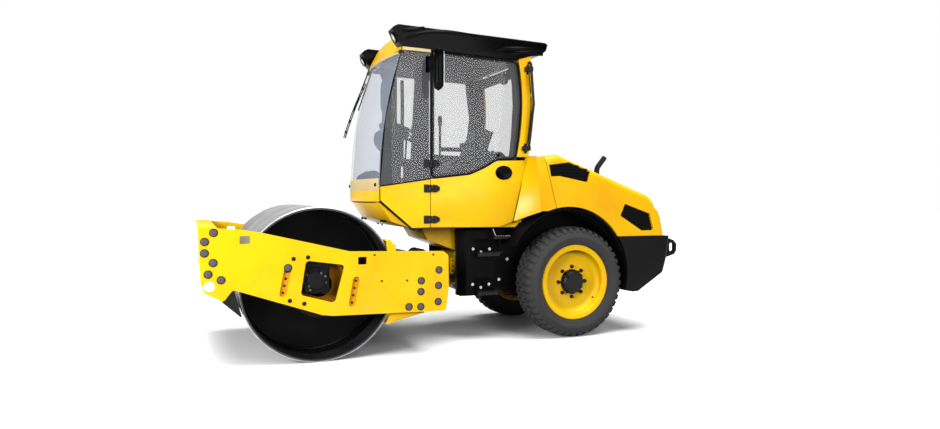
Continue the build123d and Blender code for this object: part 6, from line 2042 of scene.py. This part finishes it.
@dataclass
class Seat:
    """Driver's seat: two padded cushions, arms, and the sprung base under them."""

    x: float = -0.215
    cushion: Cushion = field(default_factory=lambda: Cushion("seat_cushion", (0.205, 0.215, 0.042),
        (-0.185, 0.0, 1.572), -4.0, [(1, 0.125), (1, -0.125), (0, -0.03)], 2))
    back: Cushion = field(default_factory=lambda: Cushion("seat_back", (0.04, 0.205, 0.165),
        (-0.32, 0.0, 1.8), -22.0, [(1, 0.12), (1, -0.12), (2, 0.055), (2, -0.055)], 0))

    def build(self) -> list[Item]:
        """Make the seat's pieces."""
        return [self.cushion.build(), self.back.build(), self.make_shell(), self.make_arms(),
            self.make_stitches()]

    def make_shell(self) -> Item:
        """Moulded pan and back shell, bellows over the springs, and the slide rails."""
        shape = Shape().box((self.x - 0.205, -0.215, 1.5), (self.x + 0.235, 0.215, 1.53), 0.01, 3)
        shell = Shape().box((-0.012, -0.185, -0.165), (0.01, 0.185, 0.155), 0.008, 3)
        shell.turned(-22.0, "Y").moved((-0.372, 0.0, 1.788))
        shape.add(shell.mesh())
        fold = Shape().prism(rounded(rect(-0.17, -0.15, 0.17, 0.15), 0.03), -0.02, 0.02, 0.012, Along.Z)
        shape.add(row(fold, BLACK_DULL, 9, (self.x, 0.0, 1.095), (0.0, 0.0, 0.046)))
        for y in (-0.17, 0.17):
            shape.box((self.x - 0.2, y - 0.014, 1.482), (self.x + 0.22, y + 0.014, 1.5), 0.003)
        return shape.piece("seat_shell", BLACK_DULL, Body.FRAME, "interior_trim")

    def make_arms(self) -> Item:
        """Padded arm rests on their pivots."""
        shape = Shape().box((-0.335, 0.252, 1.76), (-0.055, 0.308, 1.802), 0.014, 3)
        shape.prism(rounded([(-0.36, 1.7), (-0.3, 1.7), (-0.3, 1.77), (-0.34, 1.78)], 0.01), 0.235, 0.262,
            0.004)
        return shape.both().piece("seat_arms", BLACK_DULL, Body.FRAME, "interior_trim")

    def make_stitches(self) -> Item:
        """Two rows of stitches along the cushion's side channels."""
        shape = Shape()
        for y in (0.116, -0.116):
            stitch = Shape().box((-0.0035, -0.0006, -0.0006), (0.0035, 0.0006, 0.0008), 0.0005)
            shape.add(row(stitch, PALE_TRIM, 32, (-0.34, y, 1.616), (0.01, 0.0, -0.0002)))
        return shape.piece("seat_stitches", PALE_TRIM, Body.FRAME, "seat_fabric")


ASSEMBLIES: list[Any] = [DrumFrame(), Drum(), Wheel(Side.LEFT), Wheel(Side.RIGHT), CabShell(),
    Door(Side.LEFT), Door(Side.RIGHT), Roof(), CabTrim(), CabFittings(), EngineBody(), Engine(), Access(),
    Articulation(), Seat()]


# ------------------------------------------------------------------------ studio
@dataclass(frozen=True)
class Softbox:
    """A square lamp that faces a point."""

    name: str
    place: Point
    size: float
    watts: float
    target: Point = (0.0, 0.0, 0.9)

    def build(self) -> None:
        """Hang the lamp."""
        data = bpy.data.lights.new(self.name, "AREA")
        data.size = self.size
        data.energy = self.watts
        lamp = placed(self.name, data)
        lamp.location = self.place
        toward = Vector(self.target) - Vector(self.place)
        lamp.rotation_euler = toward.to_track_quat("-Z", "Y").to_euler()


@dataclass(frozen=True)
class Overhead:
    """Very wide, even light from one direction, like a ceiling of diffusers."""

    name: str
    toward: Point
    strength: float
    spread_deg: float

    def build(self) -> None:
        """Hang the lamp."""
        data = bpy.data.lights.new(self.name, "SUN")
        data.energy = self.strength
        data.angle = math.radians(self.spread_deg)
        lamp = placed(self.name, data)
        lamp.rotation_euler = Vector(self.toward).to_track_quat("-Z", "Y").to_euler()


@dataclass
class Studio:
    """Pale floor, soft lamps and the camera."""

    eye: Point = (2.2872, 6.2338, 1.2927)
    yaw: float = 0.389075
    pitch: float = -0.024458
    roll: float = 0.002455
    lens_mm: float = 26.24
    sensor_mm: float = 36.0
    view_end: float = 200.0
    floor_half: float = 60.0
    fill: float = 0.33
    lamps: list[Any] = field(default_factory=lambda: [Overhead("ceiling", (0.05, -0.1, -1.0), 4.2, 50.0),
        Softbox("key_softbox", (6.2, 3.9, 2.5), 2.4, 470.0, (1.2, 0.8, 0.9)),
        Softbox("side_softbox", (-1.5, 7.5, 3.2), 4.0, 235.0, (-1.0, 0.7, 1.2))])

    def build(self) -> None:
        """Make the floor, the sky, the lamps and the camera."""
        self.make_floor()
        self.make_sky()
        for lamp in self.lamps:
            lamp.build()
        self.make_camera()

    def make_floor(self) -> None:
        """A plain pale floor that runs out past the view."""
        mesh = bpy.data.meshes.new("floor")
        half = self.floor_half
        mesh.from_pydata([(-half, -half, 0), (half, -half, 0), (half, half, 0), (-half, half, 0)], [],
            [(0, 1, 2, 3)])
        floor = placed("floor", mesh)
        mesh.materials.append(Finish("pale_floor", "#F8F8F8", "#F6F6F6", roughness=0.9, grain_depth=0.0,
            specular=0.0).make())

    def make_sky(self) -> None:
        """A white backdrop, with an even and dimmer light from all round."""
        world = bpy.data.worlds.new("studio")
        world.use_nodes = True
        tree = world.node_tree
        sky = tree.nodes["Background"]
        rays = add_node(tree, "ShaderNodeLightPath")
        level = add_node(tree, "ShaderNodeMapRange", {"To Min": self.fill, "To Max": 1.0},
            {"Value": rays.outputs["Is Camera Ray"]})
        sky.inputs[0].default_value = (1.0, 1.0, 1.0, 1.0)
        tree.links.new(level.outputs[0], sky.inputs[1])
        bpy.context.scene.world = world
        bpy.context.scene.cycles.diffuse_bounces = 0
        bpy.context.scene.view_settings.view_transform = "Standard"

    def make_camera(self) -> None:
        """The camera, at the left front and about eye height."""
        data = bpy.data.cameras.new("camera")
        data.sensor_width = self.sensor_mm
        data.lens = self.lens_mm
        data.clip_end = self.view_end
        camera = placed("camera", data)
        look = Vector((-math.sin(self.yaw) * math.cos(self.pitch),
            -math.cos(self.yaw) * math.cos(self.pitch), math.sin(self.pitch)))
        level = Vector((-math.cos(self.yaw), math.sin(self.yaw), 0))
        over = level.cross(look)
        right = level * math.cos(self.roll) + over * math.sin(self.roll)
        above = over * math.cos(self.roll) - level * math.sin(self.roll)
        turn = Matrix((right, above, -look)).transposed().to_4x4()
        camera.matrix_world = Matrix.Translation(self.eye) @ turn
        bpy.context.scene.camera = camera


def main() -> None:
    """Dress the frame, build each sub-assembly and report it."""
    logging.basicConfig(level=logging.INFO, format="%(name)s: %(message)s")
    dress_cad_nodes()
    LOG.info("finishes on %d packed nodes", len(frame["nodes"]))
    for assembly in ASSEMBLIES:
        pieces = assembly.build()
        LOG.info("%s: %s", type(assembly).__name__, ", ".join(piece.name for piece in pieces))
    Studio().build()
    LOG.info("studio")


if __name__ == "__main__":
    main()
